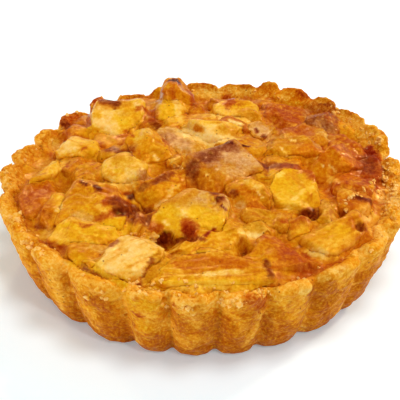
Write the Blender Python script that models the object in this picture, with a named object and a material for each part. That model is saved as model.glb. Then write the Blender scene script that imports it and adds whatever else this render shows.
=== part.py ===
"""A small open apple tart: a fluted shortcrust case, its cooked filling and the apple pieces on top.

Metres, +Z up. The origin is the centre of the flat base, which rests on z = 0; +Y is the back of the tart.
A bearing is an angle in degrees seen from above, clockwise from the back: 90 is +X and 180 is the front.
"""

import math
import random
from collections import namedtuple

import bmesh
import bpy
from mathutils import Matrix, Vector, noise

MM = 0.001
GAP = 0.35 * MM

# The pastry case.
RIM_RADIUS = 52.3 * MM
RIM_HEIGHT = 22.8 * MM
BASE_RADIUS = 43.4 * MM
BASE_EDGE_ROUNDING = 0.7 * MM
WALL_CURVE = 0.53
WALL_LEVELS = (0.04, 0.2, 0.42, 0.64, 0.84)
WALL_UNEVENNESS = 0.25 * MM
# The flutes are deepest at the back left of the rim and shallowest opposite.
FLUTE_DEPTH_AT_RIM = 4.2 * MM
FLUTE_DEPTH_SWING = 1.2 * MM
DEEPEST_BEARING = 320
FLUTE_DEPTH_AT_BASE = 2.5 * MM
FLUTE_ROUNDNESS = 0.55
FLUTE_STEPS = 5
RIM_ROUNDING = 0.9 * MM
CREASE_DIP = 2.1 * MM
FLOOR_THICKNESS = 3.4 * MM
# The inside of the wall, level by level: below the rim, radius, share of the flutes that shows there.
INNER_LIP = (1.0 * MM, 47.3 * MM, 1.0)
INNER_SLOPE = (2.6 * MM, 45.9 * MM, 0.6)
INNER_FOOT = (5.0 * MM, 44.6 * MM, 0.2)
INNER_FLUTE_DEPTH = 0.9 * MM
INNER_RADIUS_AT_FLOOR = 37.6 * MM
INNER_FLOOR_ROUNDING = 2.0 * MM
INNER_UNEVENNESS = 0.3 * MM
# Where the inside lies further out or in, so the wall is thinner or thicker: bearing, half width, distance.
INNER_LEANS = (
    (172, 50, 0.7 * MM),
    (228, 12, -0.7 * MM),
)
# Where the creases between the flutes lie; the flutes are as uneven as fingers left them.
CREASE_BEARINGS = (
    6, 19, 27, 39, 49, 63, 79, 92, 105, 118, 132, 149, 163, 176,
    189, 201, 219, 233, 248, 264, 278, 291, 303, 318, 329, 341, 353,
)  # fmt: skip

# Low and high stretches of the rim: bearing, half width in degrees, height.
RIM_SWELLS = (
    (36, 26, 1.5 * MM),
    (23, 7, 1.2 * MM),
    (66, 16, 1.0 * MM),
    (60, 34, 0.8 * MM),
    (338, 16, -1.5 * MM),
    (322, 8, 0.7 * MM),
    (272, 12, 0.8 * MM),
    (150, 20, -0.4 * MM),
)
RIM_UNEVENNESS = 0.5 * MM
# Where the wall leans out or in at the rim: bearing, half width in degrees, distance.
WALL_LEANS = (
    (303, 30, -1.5 * MM),
    (342, 14, 0.6 * MM),
)
# Loose flakes that stand out from the wall: bearing, half width in degrees, height share, reach.
WALL_FLAKES = (
    (101, 4.5, 0.86, 1.1 * MM),
    (262, 3.5, 0.72, 0.8 * MM),
    (124, 4.0, 0.78, 0.5 * MM),
)
FLAKE_HEIGHT_SHARE = 0.2

# The filling.
FILLING_STEPS = 56
FILLING_RINGS = (0.9, 0.74, 0.56, 0.38, 0.2)
FILLING_BELOW_RIM = 3.0 * MM
FILLING_CROWN = 3.6 * MM
FILLING_LUMPS = 1.6 * MM

# The shapes that the apple was cut to, from above: points along its length and across its width, each from
# -1 to 1, anticlockwise from the front left.
OUTLINES = {
    "block": ((-1, -1), (1, -1), (1, 1), (-1, 1)),
    "wedge": ((-1, -0.8), (1, -1), (0.8, 0.9), (-0.5, 1)),
    "moon": ((-1, 0.7), (-0.75, -0.4), (-0.2, -1), (0.4, -0.95), (0.85, -0.3), (1, 0.9)),
    "no_back_left": ((-1, -1), (1, -0.9), (1, 1), (-0.3, 1), (-1, 0.1)),
    "no_back_right": ((-1, -1), (0.9, -1), (1, 0), (0.25, 1), (-1, 0.9)),
    "round": ((-1, -0.1), (-0.6, -0.95), (0.55, -1), (1, -0.1), (0.6, 1), (-0.55, 0.9)),
}

# The apple pieces. A piece is placed by the middle of its top face: x and y, and its rise above the rim's
# mean height. Length, width and depth are its size, and turn is its length's angle from +X, anticlockwise.
# front and right tip its top towards the front and the right. Taper narrows its top.
Piece = namedtuple("Piece", "outline x y rise length width depth turn front right taper")
APPLE_PIECES = (
    Piece("block", -24.0, 25.0, 3.0, 14.5, 13.0, 11.0, -5, 20, 0, 0.89),
    Piece("wedge", -33.0, 22.5, 0.8, 9.0, 6.5, 6.0, 5, 10, 0, 0.84),
    Piece("round", -33.0, 9.5, 3.0, 14.5, 9.5, 8.0, -15, 15, -5, 0.74),
    Piece("moon", -39.0, -1.0, 1.8, 16.0, 5.0, 8.0, 60, 5, 8, 0.79),
    Piece("block", -7.0, 38.0, 7.4, 10.5, 9.5, 12.0, 10, -12, 0, 0.54),
    Piece("block", -8.5, 29.0, 2.6, 8.5, 7.0, 8.0, 0, 22, 5, 0.79),
    Piece("block", -2.0, 32.0, 1.4, 6.0, 7.5, 7.0, 8, 10, 0, 0.84),
    Piece("wedge", -14.5, 26.0, 1.4, 7.0, 8.5, 7.0, -10, 8, 0, 0.84),
    Piece("wedge", 8.0, 30.0, 3.0, 17.5, 8.5, 8.0, -6, 15, 0, 0.84),
    Piece("moon", 2.5, 15.0, 4.8, 17.5, 9.0, 7.0, -3, 25, 0, 0.74),
    Piece("wedge", -5.5, 12.0, 3.2, 18.0, 8.5, 5.0, -50, 10, 0, 0.94),
    Piece("block", -13.5, 6.5, 5.4, 10.0, 10.5, 11.0, 12, 18, 0, 0.89),
    Piece("round", -6.0, 2.0, 3.4, 6.5, 6.5, 6.0, 20, 10, 0, 0.79),
    Piece("round", -20.0, -5.5, 5.0, 12.5, 10.5, 10.0, 20, 20, -5, 0.84),
    Piece("wedge", -23.0, 8.5, 1.8, 9.5, 6.5, 5.0, 5, 5, 0, 0.84),
    Piece("wedge", -28.5, -3.0, 2.2, 10.0, 7.5, 5.0, 10, 8, 0, 0.94),
    Piece("moon", -9.5, -13.0, 5.0, 19.5, 9.5, 8.0, 34, 15, 5, 0.69),
    Piece("block", 6.0, -4.0, 6.0, 18.5, 14.5, 11.0, 40, 10, 10, 0.84),
    Piece("round", 13.0, -15.5, 4.5, 16.0, 10.0, 8.0, -22, 20, 5, 0.74),
    Piece("no_back_left", -3.0, -25.0, 5.4, 17.5, 14.5, 11.0, -12, 20, 0, 0.84),
    Piece("no_back_left", 0.5, -33.0, 2.6, 20.0, 12.0, 9.0, 28, 15, 0, 0.84),
    Piece("moon", 3.0, -42.0, 1.2, 26.5, 11.5, 8.0, 178, 10, 0, 0.94),
    Piece("block", -17.0, -39.3, 1.8, 16.5, 11.0, 6.0, 58, 14, 0, 0.94),
    Piece("wedge", -10.5, -40.5, 0.6, 13.5, 7.0, 8.0, 65, 8, 0, 0.69),
    Piece("no_back_right", -25.5, -18.0, 3.2, 19.0, 15.0, 9.0, -10, 14, -5, 0.89),
    Piece("block", -35.5, -17.5, 2.0, 11.5, 5.0, 8.0, 68, 5, 0, 0.84),
    Piece("wedge", -27.5, -28.0, 1.6, 21.5, 9.5, 8.0, -3, 18, -3, 0.84),
    Piece("no_back_left", -41.0, -11.5, -0.2, 18.0, 10.0, 6.0, 80, 5, 5, 0.89),
    Piece("moon", -26.0, -34.5, 0.2, 13.5, 8.5, 6.0, -27, 8, 0, 0.89),
    Piece("no_back_right", 23.5, -13.5, 4.6, 16.0, 15.0, 11.0, -15, 20, 0, 0.84),
    Piece("wedge", 22.5, 7.0, 4.0, 17.5, 8.5, 8.0, 5, 10, 0, 0.89),
    Piece("round", 16.0, 19.5, 3.0, 8.0, 7.0, 6.0, -10, 12, 0, 0.89),
    Piece("wedge", 31.5, 0.5, 4.0, 19.0, 10.5, 10.0, 40, 15, -5, 0.74),
    Piece("round", 33.5, 24.0, 2.6, 12.0, 11.0, 10.0, -25, 15, 0, 0.84),
    Piece("no_back_right", 40.0, 21.0, 0.4, 9.5, 9.5, 7.0, -40, 10, 0, 0.89),
    Piece("block", 22.5, 30.5, 1.2, 12.5, 9.5, 6.0, -15, 10, 0, 0.89),
    Piece("block", 29.5, -19.5, 1.6, 11.5, 6.5, 8.0, 75, 5, 0, 0.89),
    Piece("moon", 22.5, -25.5, 1.2, 11.5, 5.5, 5.0, 22, 10, 0, 0.79),
    Piece("moon", 32.0, -30.0, 1.4, 20.0, 12.0, 9.0, 32, 14, 0, 0.89),
    Piece("no_back_left", 19.0, -37.0, 1.6, 16.5, 14.0, 10.0, -35, 16, 0, 0.89),
    Piece("wedge", 11.5, -28.5, 2.0, 7.0, 6.0, 6.0, 20, 10, 0, 0.89),
    Piece("block", 15.5, -22.5, 1.8, 11.5, 8.5, 6.0, 0, 8, 0, 0.89),
    Piece("round", -13.0, -25.0, 1.6, 9.0, 8.5, 6.0, 10, 8, 0, 0.89),
    Piece("block", 42.0, 4.0, -0.4, 17.0, 9.5, 6.0, 95, 5, -5, 0.89),
    Piece("round", 37.0, -13.5, 0.6, 10.5, 9.5, 6.0, 10, 8, 0, 0.89),
    Piece("wedge", -18.0, 35.5, 0.4, 17.0, 9.5, 6.0, 25, 0, 0, 0.89),
    Piece("block", -21.5, 15.5, 0.6, 19.0, 9.5, 5.0, -5, 0, 0, 0.89),
    Piece("round", -33.5, 2.5, 1.4, 9.5, 8.0, 5.0, 15, 0, 0, 0.85),
    Piece("block", -3.5, 22.5, 2.4, 16.0, 9.5, 6.0, 6, 0, 0, 0.89),
    Piece("wedge", 8.5, 22.0, 2.8, 13.0, 9.0, 6.0, -8, 0, 0, 0.89),
    Piece("no_back_left", 26.0, 17.0, 2.2, 15.5, 12.0, 6.0, 12, 0, 0, 0.89),
    Piece("block", 11.0, 9.0, 3.4, 12.5, 11.0, 6.0, -42, 0, 0, 0.89),
    Piece("block", 36.0, 12.5, 1.2, 15.0, 10.0, 6.0, -52, 0, 0, 0.89),
    Piece("wedge", -23.5, -41.0, -0.4, 17.0, 3.6, 5.0, -26, 20, 0, 0.9),
    Piece("wedge", 19.0, -2.0, 3.0, 14.0, 12.0, 6.0, -12, 0, 0, 0.89),
    Piece("block", 38.0, -4.5, 0.6, 11.0, 10.5, 6.0, 75, 0, 0, 0.89),
    Piece("moon", 10.5, 38.5, 0.2, 20.0, 8.5, 5.0, -12, 0, 0, 0.89),
    Piece("no_back_left", -30.0, 31.0, -0.2, 13.0, 8.5, 5.0, 45, 0, 0, 0.89),
)
# How far a piece's faces draw in at its upper edges, as a share of its smallest side, least and most, and
# the most as a share of the way to a face's middle.
PIECE_WEAR = (0.08, 0.24)
PIECE_WEAR_LIMIT = 0.4
PIECE_UNEVENNESS = 0.15

CRUST_COLOUR = (0.62, 0.30, 0.07)
FILLING_COLOUR = (0.42, 0.15, 0.02)
APPLE_COLOURS = (
    (0.80, 0.47, 0.06),
    (0.86, 0.58, 0.16),
    (0.70, 0.36, 0.04),
)


def clear_scene():
    for thing in list(bpy.data.objects):
        bpy.data.objects.remove(thing, do_unlink=True)


def food_material(name, colour, roughness):
    material = bpy.data.materials.new(name)
    material.use_nodes = True
    shader = material.node_tree.nodes["Principled BSDF"]
    shader.inputs["Base Color"].default_value = (*colour, 1)
    shader.inputs["Roughness"].default_value = roughness
    shader.inputs["Metallic"].default_value = 0
    material.diffuse_color = (*colour, 1)
    return material


def add_object(name, mesh, material):
    thing = bpy.data.objects.new(name, mesh)
    mesh.materials.clear()
    mesh.materials.append(material)
    bpy.context.scene.collection.objects.link(thing)
    return thing


def at_bearing(bearing, radius, height):
    angle = math.radians(bearing)
    return Vector((radius * math.sin(angle), radius * math.cos(angle), height))


def bearing_gap(one, other):
    """Degrees between two bearings, the short way round."""
    return abs((one - other + 180) % 360 - 180)


def wave_round(bearing, bumps, layer=0.0):
    """A smooth wave round the tart, from about -1 to 1. Each layer is another wave."""
    return noise.noise(at_bearing(bearing, bumps, layer))


def bump(distance, half_width):
    """A smooth hill: 1 at no distance, 0 from the half width on."""
    share = min(distance / half_width, 1)
    return 0.5 + 0.5 * math.cos(math.pi * share)


# The pastry case.


def flute_bearings():
    """The bearings of the case's mesh columns: FLUTE_STEPS from each crease to the next."""
    bearings = []
    for index, start in enumerate(CREASE_BEARINGS):
        end = CREASE_BEARINGS[(index + 1) % len(CREASE_BEARINGS)]
        width = (end - start) % 360
        for step in range(FLUTE_STEPS):
            bearings.append((start + width * step / FLUTE_STEPS, step / FLUTE_STEPS))
    return bearings


def flute_swell(share):
    """How far a flute stands out at this share of its width: 0 in the creases, 1 along its middle."""
    return (4 * share * (1 - share)) ** FLUTE_ROUNDNESS


def rim_height(bearing):
    """The rim's height without its flutes: a slow wave round the tart."""
    height = RIM_HEIGHT
    for middle, half_width, rise in RIM_SWELLS:
        height += rise * bump(bearing_gap(bearing, middle), half_width)
    return height + RIM_UNEVENNESS * wave_round(bearing, 9)


def lean_at(bearing, leans):
    """The distance that these leans add up to at a bearing."""
    return sum(distance * bump(bearing_gap(bearing, middle), width) for middle, width, distance in leans)


def outer_radius(bearing, swell, share):
    """The wall's radius at this share of its height."""
    lobe = BASE_RADIUS + (RIM_RADIUS - BASE_RADIUS) * share**WALL_CURVE
    lobe += lean_at(bearing, WALL_LEANS) * share
    rim_depth = FLUTE_DEPTH_AT_RIM + FLUTE_DEPTH_SWING * math.cos(math.radians(bearing - DEEPEST_BEARING))
    depth = FLUTE_DEPTH_AT_BASE + (rim_depth - FLUTE_DEPTH_AT_BASE) * share
    radius = lobe - depth * (1 - swell)
    for middle, half_width, height_share, reach in WALL_FLAKES:
        near = bump(bearing_gap(bearing, middle), half_width)
        radius += reach * near * bump(abs(share - height_share), FLAKE_HEIGHT_SHARE)
    return radius + WALL_UNEVENNESS * wave_round(bearing, 14, 5 * share)


def inner_wall(bearing, clearance, swell=0.0):
    """The inside of the wall from the rim down to the floor, this far clear of it. Its flutes fade downwards."""
    top = rim_height(bearing)
    shift = INNER_UNEVENNESS * wave_round(bearing, 1.5, 7) - clearance
    lean = lean_at(bearing, WALL_LEANS) + lean_at(bearing, INNER_LEANS)
    points = []
    for drop, radius, flute_share in (INNER_LIP, INNER_SLOPE, INNER_FOOT):
        flute = INNER_FLUTE_DEPTH * flute_share * swell
        points.append(at_bearing(bearing, radius + flute + shift + lean, top - drop))
    floor_radius = INNER_RADIUS_AT_FLOOR + shift
    points.append(at_bearing(bearing, floor_radius + INNER_FLOOR_ROUNDING, 2 * FLOOR_THICKNESS))
    points.append(at_bearing(bearing, floor_radius, FLOOR_THICKNESS + clearance))
    return points


def crust_column(bearing, share):
    """One upright section of the case, from the base round the rim to the floor inside."""
    swell = flute_swell(share)
    top = rim_height(bearing) - CREASE_DIP * (1 - swell)
    outside = outer_radius(bearing, swell, 1)
    inside = inner_wall(bearing, 0, swell)
    lip_radius = inside[0].xy.length
    inner_top = (top + rim_height(bearing)) / 2
    points = [at_bearing(bearing, outer_radius(bearing, swell, 0) - BASE_EDGE_ROUNDING, 0)]
    for level in WALL_LEVELS:
        points.append(at_bearing(bearing, outer_radius(bearing, swell, level), level * top))
    points += [
        at_bearing(bearing, outside, top - RIM_ROUNDING),
        at_bearing(bearing, outside * 0.75 + lip_radius * 0.25, top),
        at_bearing(bearing, outside * 0.25 + lip_radius * 0.75, inner_top),
    ]
    return points + inside


def closed_round(name, columns, bottom, top):
    """A mesh round the Z axis: columns of points side by side, closed by a middle point below and above."""
    shape = bmesh.new()
    rows = [[shape.verts.new(point) for point in column] for column in columns]
    first = shape.verts.new(bottom)
    last = shape.verts.new(top)
    for column, neighbour in zip(rows, rows[1:] + rows[:1]):
        shape.faces.new((first, column[0], neighbour[0]))
        for index in range(len(column) - 1):
            shape.faces.new((column[index], column[index + 1], neighbour[index + 1], neighbour[index]))
        shape.faces.new((column[-1], last, neighbour[-1]))
    bmesh.ops.recalc_face_normals(shape, faces=shape.faces)
    mesh = bpy.data.meshes.new(name)
    shape.to_mesh(mesh)
    shape.free()
    mesh.shade_smooth()
    return mesh


def make_crust():
    columns = [crust_column(bearing, share) for bearing, share in flute_bearings()]
    mesh = closed_round("crust", columns, Vector((0, 0, 0)), Vector((0, 0, FLOOR_THICKNESS)))
    return add_object("crust", mesh, food_material("baked_crust", CRUST_COLOUR, 0.75))


# What lies inside the case.


def filling_height(bearing, share):
    """The height of the filling's top at this share of its radius: crowned and lumpy."""
    crown = FILLING_CROWN * (1 - share**2)
    lumps = FILLING_LUMPS * wave_round(bearing, 5 * share, 1.4) * (1 - 0.6 * share)
    edge_height = rim_height(bearing) * share + RIM_HEIGHT * (1 - share) - FILLING_BELOW_RIM
    return edge_height + crown + lumps


def inside_column(bearing):
    """The side of what fills the case, from its floor up to the slope below the rim, a gap clear of both."""
    return inner_wall(bearing, 2 * GAP)[:0:-1]


def evenly_round():
    return [360 * step / FILLING_STEPS for step in range(FILLING_STEPS)]


def make_filling():
    columns = []
    for bearing in evenly_round():
        column = inside_column(bearing)
        edge = column[-1].xy.length
        for share in FILLING_RINGS:
            column.append(at_bearing(bearing, edge * share, filling_height(bearing, share)))
        columns.append(column)
    middle = Vector((0, 0, filling_height(0, 0)))
    mesh = closed_round("filling", columns, Vector((0, 0, FLOOR_THICKNESS + 2 * GAP)), middle)
    return add_object("filling", mesh, food_material("apple_filling", FILLING_COLOUR, 0.3))


def as_cutter(thing, collection):
    collection.objects.link(thing)
    thing.hide_render = True
    thing.display_type = "WIRE"
    return thing


def make_case_space():
    """The whole space that the case leaves, open upwards, which no apple piece may leave."""
    sky = 3 * RIM_HEIGHT
    columns = []
    for bearing in evenly_round():
        column = inner_wall(bearing, 2 * GAP)[::-1]
        column.append(at_bearing(bearing, column[-1].xy.length, sky))
        columns.append(column)
    mesh = closed_round("case_space", columns, Vector((0, 0, FLOOR_THICKNESS + 2 * GAP)), Vector((0, 0, sky)))
    return as_cutter(bpy.data.objects.new("case_space", mesh), bpy.context.scene.collection)


def widened(outline, distance):
    """An outline's points, moved out so that its sides lie this far outside the old ones."""
    moved = []
    for index, point in enumerate(outline):
        before = (point - outline[index - 1]).normalized()
        after = (outline[(index + 1) % len(outline)] - point).normalized()
        outward = Vector((before.y + after.y, -before.x - after.x))
        moved.append(point + outward * distance / (1 + before.dot(after)))
    return moved


def piece_corners(piece, seed, grow):
    """The upper and the lower corners of an apple piece in its own axes, its top's middle at the origin."""
    draw = random.Random(seed)
    corners = []
    for level, narrowing in ((0, piece.taper), (-1, 1)):
        half_length = piece.length * MM / 2 * narrowing
        half_width = piece.width * MM / 2 * narrowing
        outline = []
        heights = []
        for along, across in OUTLINES[piece.outline]:
            shift = [1 + PIECE_UNEVENNESS * draw.uniform(-1, 1) for _ in range(3)]
            outline.append(Vector((along * half_length * shift[0], across * half_width * shift[1])))
            heights.append(level * piece.depth * MM * shift[2] + (grow if level == 0 else -grow))
        corners.append([place.to_3d() + Vector((0, 0, z)) for place, z in zip(widened(outline, grow), heights)])
    return corners


def convex_shape(points):
    """The shape that a tight skin round these points has."""
    shape = bmesh.new()
    for point in points:
        shape.verts.new(point)
    made = bmesh.ops.convex_hull(shape, input=shape.verts)
    spare = [part for part in made["geom_interior"] if isinstance(part, bmesh.types.BMVert)]
    bmesh.ops.delete(shape, geom=spare, context="VERTS")
    return shape


def piece_room(piece, seed):
    """The sharp-edged room that a piece needs, a gap wider than the piece all round."""
    upper, lower = piece_corners(piece, seed, GAP)
    return convex_shape(upper + lower)


def piece_block(piece, seed):
    """A piece's block: each face drawn in a little, so the edges are worn, but for the corners it stands on."""
    upper, lower = piece_corners(piece, seed, 0)
    share = random.Random(seed).uniform(*PIECE_WEAR)
    worn = share * min(piece.length, piece.width, piece.depth) * MM
    sharp = convex_shape(upper + lower)
    points = list(lower)
    for face in sharp.faces:
        middle = face.calc_center_median()
        for vertex in face.verts:
            inward = middle - vertex.co
            points.append(vertex.co + inward.normalized() * min(worn, PIECE_WEAR_LIMIT * inward.length))
    sharp.free()
    return convex_shape(points)


def placed_mesh(name, shape, piece):
    """The piece's shape as a mesh, turned, tipped and moved to its place in the tart."""
    bmesh.ops.triangulate(shape, faces=shape.faces)
    bmesh.ops.recalc_face_normals(shape, faces=shape.faces)
    turn = Matrix.Rotation(math.radians(piece.turn), 4, "Z")
    tip_front = Matrix.Rotation(math.radians(piece.front), 4, "X")
    tip_right = Matrix.Rotation(math.radians(piece.right), 4, "Y")
    place = Matrix.Translation((piece.x * MM, piece.y * MM, RIM_HEIGHT + piece.rise * MM))
    bmesh.ops.transform(shape, matrix=place @ tip_front @ tip_right @ turn, verts=shape.verts)
    mesh = bpy.data.meshes.new(name)
    shape.to_mesh(mesh)
    shape.free()
    mesh.shade_smooth()
    mesh.set_sharp_from_angle(angle=math.radians(50))
    return mesh


def boxes_meet(one, other):
    for axis in range(3):
        if min(c[axis] for c in one) > max(c[axis] for c in other):
            return False
        if max(c[axis] for c in one) < min(c[axis] for c in other):
            return False
    return True


def vertex_places(mesh):
    return [vertex.co.copy() for vertex in mesh.vertices]


def apply_boolean(thing, operation, cutter):
    """Cuts the object by another one, or by all the objects of a collection, and keeps the result."""
    modifier = thing.modifiers.new("cut", "BOOLEAN")
    modifier.operation = operation
    modifier.solver = "EXACT"
    if isinstance(cutter, bpy.types.Collection):
        modifier.operand_type = "COLLECTION"
        modifier.collection = cutter
    else:
        modifier.object = cutter
    graph = bpy.context.evaluated_depsgraph_get()
    result = bpy.data.meshes.new_from_object(thing.evaluated_get(graph))
    thing.modifiers.remove(modifier)
    thing.data = result


def keep_largest_body(thing):
    """Drops the loose scraps that cutting leaves."""
    shape = bmesh.new()
    shape.from_mesh(thing.data)
    bmesh.ops.remove_doubles(shape, verts=shape.verts, dist=0.00001)
    bmesh.ops.triangulate(shape, faces=shape.faces)
    unseen = set(shape.verts)
    bodies = []
    while unseen:
        body = set()
        front = [unseen.pop()]
        while front:
            vertex = front.pop()
            body.add(vertex)
            for edge in vertex.link_edges:
                other = edge.other_vert(vertex)
                if other in unseen:
                    unseen.remove(other)
                    front.append(other)
        bodies.append(body)
    bodies.sort(key=reach, reverse=True)
    for body in bodies[1:]:
        bmesh.ops.delete(shape, geom=list(body), context="VERTS")
    shape.to_mesh(thing.data)
    shape.free()


def reach(body):
    """The product of a body's sides, with a little on each so that a thin one still counts."""
    sides = [max(v.co[axis] for v in body) - min(v.co[axis] for v in body) + GAP for axis in range(3)]
    return sides[0] * sides[1] * sides[2]


def make_apple_pieces(space):
    """The apple pieces, each cut back from the room that the higher ones need. Returns those rooms."""
    materials = [food_material(f"apple_{i}", colour, 0.35) for i, colour in enumerate(APPLE_COLOURS)]
    rooms = bpy.data.collections.new("rooms")
    bpy.context.scene.collection.children.link(rooms)
    placed = []
    for number, piece in enumerate(APPLE_PIECES, start=1):
        name = f"apple_piece_{number:02d}"
        mesh = placed_mesh(name, piece_block(piece, number), piece)
        thing = add_object(name, mesh, materials[number % len(materials)])
        room_mesh = placed_mesh("room", piece_room(piece, number), piece)
        room = as_cutter(bpy.data.objects.new("room", room_mesh), rooms)
        placed.append((piece, thing, room))
    placed.sort(key=lambda row: row[0].rise)
    for index, (_, thing, _) in enumerate(placed):
        for _, _, room in placed[index + 1 :]:
            if boxes_meet(vertex_places(thing.data), vertex_places(room.data)):
                apply_boolean(thing, "DIFFERENCE", room)
        apply_boolean(thing, "INTERSECT", space)
        keep_largest_body(thing)
    return rooms


def remove_cutters(rooms, space):
    for room in list(rooms.objects):
        bpy.data.objects.remove(room, do_unlink=True)
    bpy.data.collections.remove(rooms)
    bpy.data.objects.remove(space, do_unlink=True)


def main():
    clear_scene()
    make_crust()
    space = make_case_space()
    rooms = make_apple_pieces(space)
    filling = make_filling()
    apply_boolean(filling, "DIFFERENCE", rooms)
    keep_largest_body(filling)
    remove_cutters(rooms, space)


main()
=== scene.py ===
"""The looks of a small open apple tart: its baked crust, its caramel filling and the glossy apple on top.

Metres, +Z up, in the frame of the solids: +Y is the back of the tart. A bearing is an angle in degrees seen
from above, clockwise from the back: 90 is +X and 180 is the front. Colours are linear red, green and blue.
"""

import math
import random
from collections import namedtuple

import bmesh
import bpy
import numpy as np
from mathutils import Matrix, Vector, noise
from mathutils.bvhtree import BVHTree
from mathutils.kdtree import KDTree


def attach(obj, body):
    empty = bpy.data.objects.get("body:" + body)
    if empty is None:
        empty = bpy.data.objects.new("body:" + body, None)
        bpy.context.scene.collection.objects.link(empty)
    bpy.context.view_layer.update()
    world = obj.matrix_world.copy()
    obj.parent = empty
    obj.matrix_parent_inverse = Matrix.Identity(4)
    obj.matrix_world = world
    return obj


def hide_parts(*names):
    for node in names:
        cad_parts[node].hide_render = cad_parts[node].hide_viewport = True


MM = 0.001

# The noise that bends the pieces follows the first seed, and the scattered crumbs the second.
NOISE_SEED = 4
CRUMB_SEED = 7

# The camera looks down at the tart from the front, from about a quarter of a metre away.
CAMERA_PITCH = math.radians(32.75)
CAMERA_TARGET = Vector((-0.46, 6.91, 10.5)) * MM
CAMERA_DISTANCE = 288.75 * MM
SENSOR_WIDTH = 36.0
LENS = 96.98
IMAGE_SIZE = 400

# Sizes of the meshes' cells.
CRUST_CELL = 0.5 * MM
FILLING_CELL = 0.6 * MM
APPLE_CELL = 0.42 * MM

# The syrup rounds each inner corner to this radius, and its skin ends this deep inside the crust.
SYRUP_FILLET = 1.6 * MM
WALL_OVERLAP = 1.9 * MM

# Each piece of apple swells by this much. Then pieces and syrup are bent this far, in bends of this size.
PIECE_SWELL = 0.6 * MM
WARP = 1.3 * MM
WARP_SIZE = 6.5 * MM

# The size of the patches that shine more and less.
WET_PATCH = 2.4 * MM

# Specks of spice: how close together they may be, their colour, and the share of them that the crust, the
# filling and the most speckled apple have.
SPECK_SPACING = 1.3 * MM
SPECK_COLOUR = (0.22, 0.035, 0.002)
CRUST_SPECKS = 0.06
FILLING_SPECKS = 0.1
APPLE_SPECKS = 0.28

# The parts of the hidden faces that are kept.
CRUST_KEPT = 0.6
FILLING_KEPT = 0.5

# Low down, where nothing shows, the filling is this share narrower, so that it stays inside the case.
FILLING_DRAWN_IN = 0.04

# The case's sizes, and the share of the creases' depth that is filled at the back.
RIM_RADIUS = 52.3 * MM
RIM_HEIGHT = 22.8 * MM
BASE_RADIUS = 43.4 * MM
CREASE_FILL = 0.5

# The rim begins at the first height and is all rim at the second.
RIM_START = 17 * MM
RIM_FULL = 21 * MM

# Streaks that run round the tart: the radius at which they are unrolled, how long and how thick they are.
UNROLLED_RADIUS = 50 * MM
DRAWN_OUT = 3
STREAK_SIZE = 1.1 * MM

# Colours of the baked apple and its syrup.
CREAM = (0.89, 0.59, 0.19)
PALE = (0.87, 0.51, 0.085)
YELLOW = (0.78, 0.405, 0.006)
GOLD = (0.70, 0.285, 0.003)
AMBER = (0.57, 0.185, 0.002)
OLIVE = (0.56, 0.21, 0.003)
ORANGE = (0.50, 0.11, 0.001)
TANGERINE = (0.60, 0.135, 0.001)
RUST = (0.38, 0.05, 0.002)
CARAMEL = (0.20, 0.024, 0.002)
MAROON = (0.09, 0.004, 0.0008)
WINE = (0.24, 0.010, 0.001)
PLUM = (0.24, 0.05, 0.012)
# Painted sheen of soft light on wet syrup: lavender over the dark syrup, and grey and pink over pale apple.
LAVENDER_SHEEN = (0.47, 0.19, 0.07)
GREY_CREAM_AND_SHEEN = (0.66, 0.34, 0.09)
PINK_CREAM_AND_SHEEN = (0.74, 0.42, 0.15)
# A painted highlight, for the glints of the wet syrup and of the crust.
PAINTED_HIGHLIGHT = (0.95, 0.66, 0.24)

# Colours of the crust.
CRUMB_PALE = (0.90, 0.52, 0.13)
CRUST_PALE = (0.86, 0.42, 0.05)
CRUST_GOLD = (0.73, 0.26, 0.004)
CRUST_BROWN = (0.47, 0.12, 0.002)
# Painted shade on the crust: the shaded middles of the flutes and the foot of the wall in front.
CRUST_SHADE = (0.42, 0.10, 0.001)
CRUST_BURNT = (0.26, 0.025, 0.002)
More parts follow.
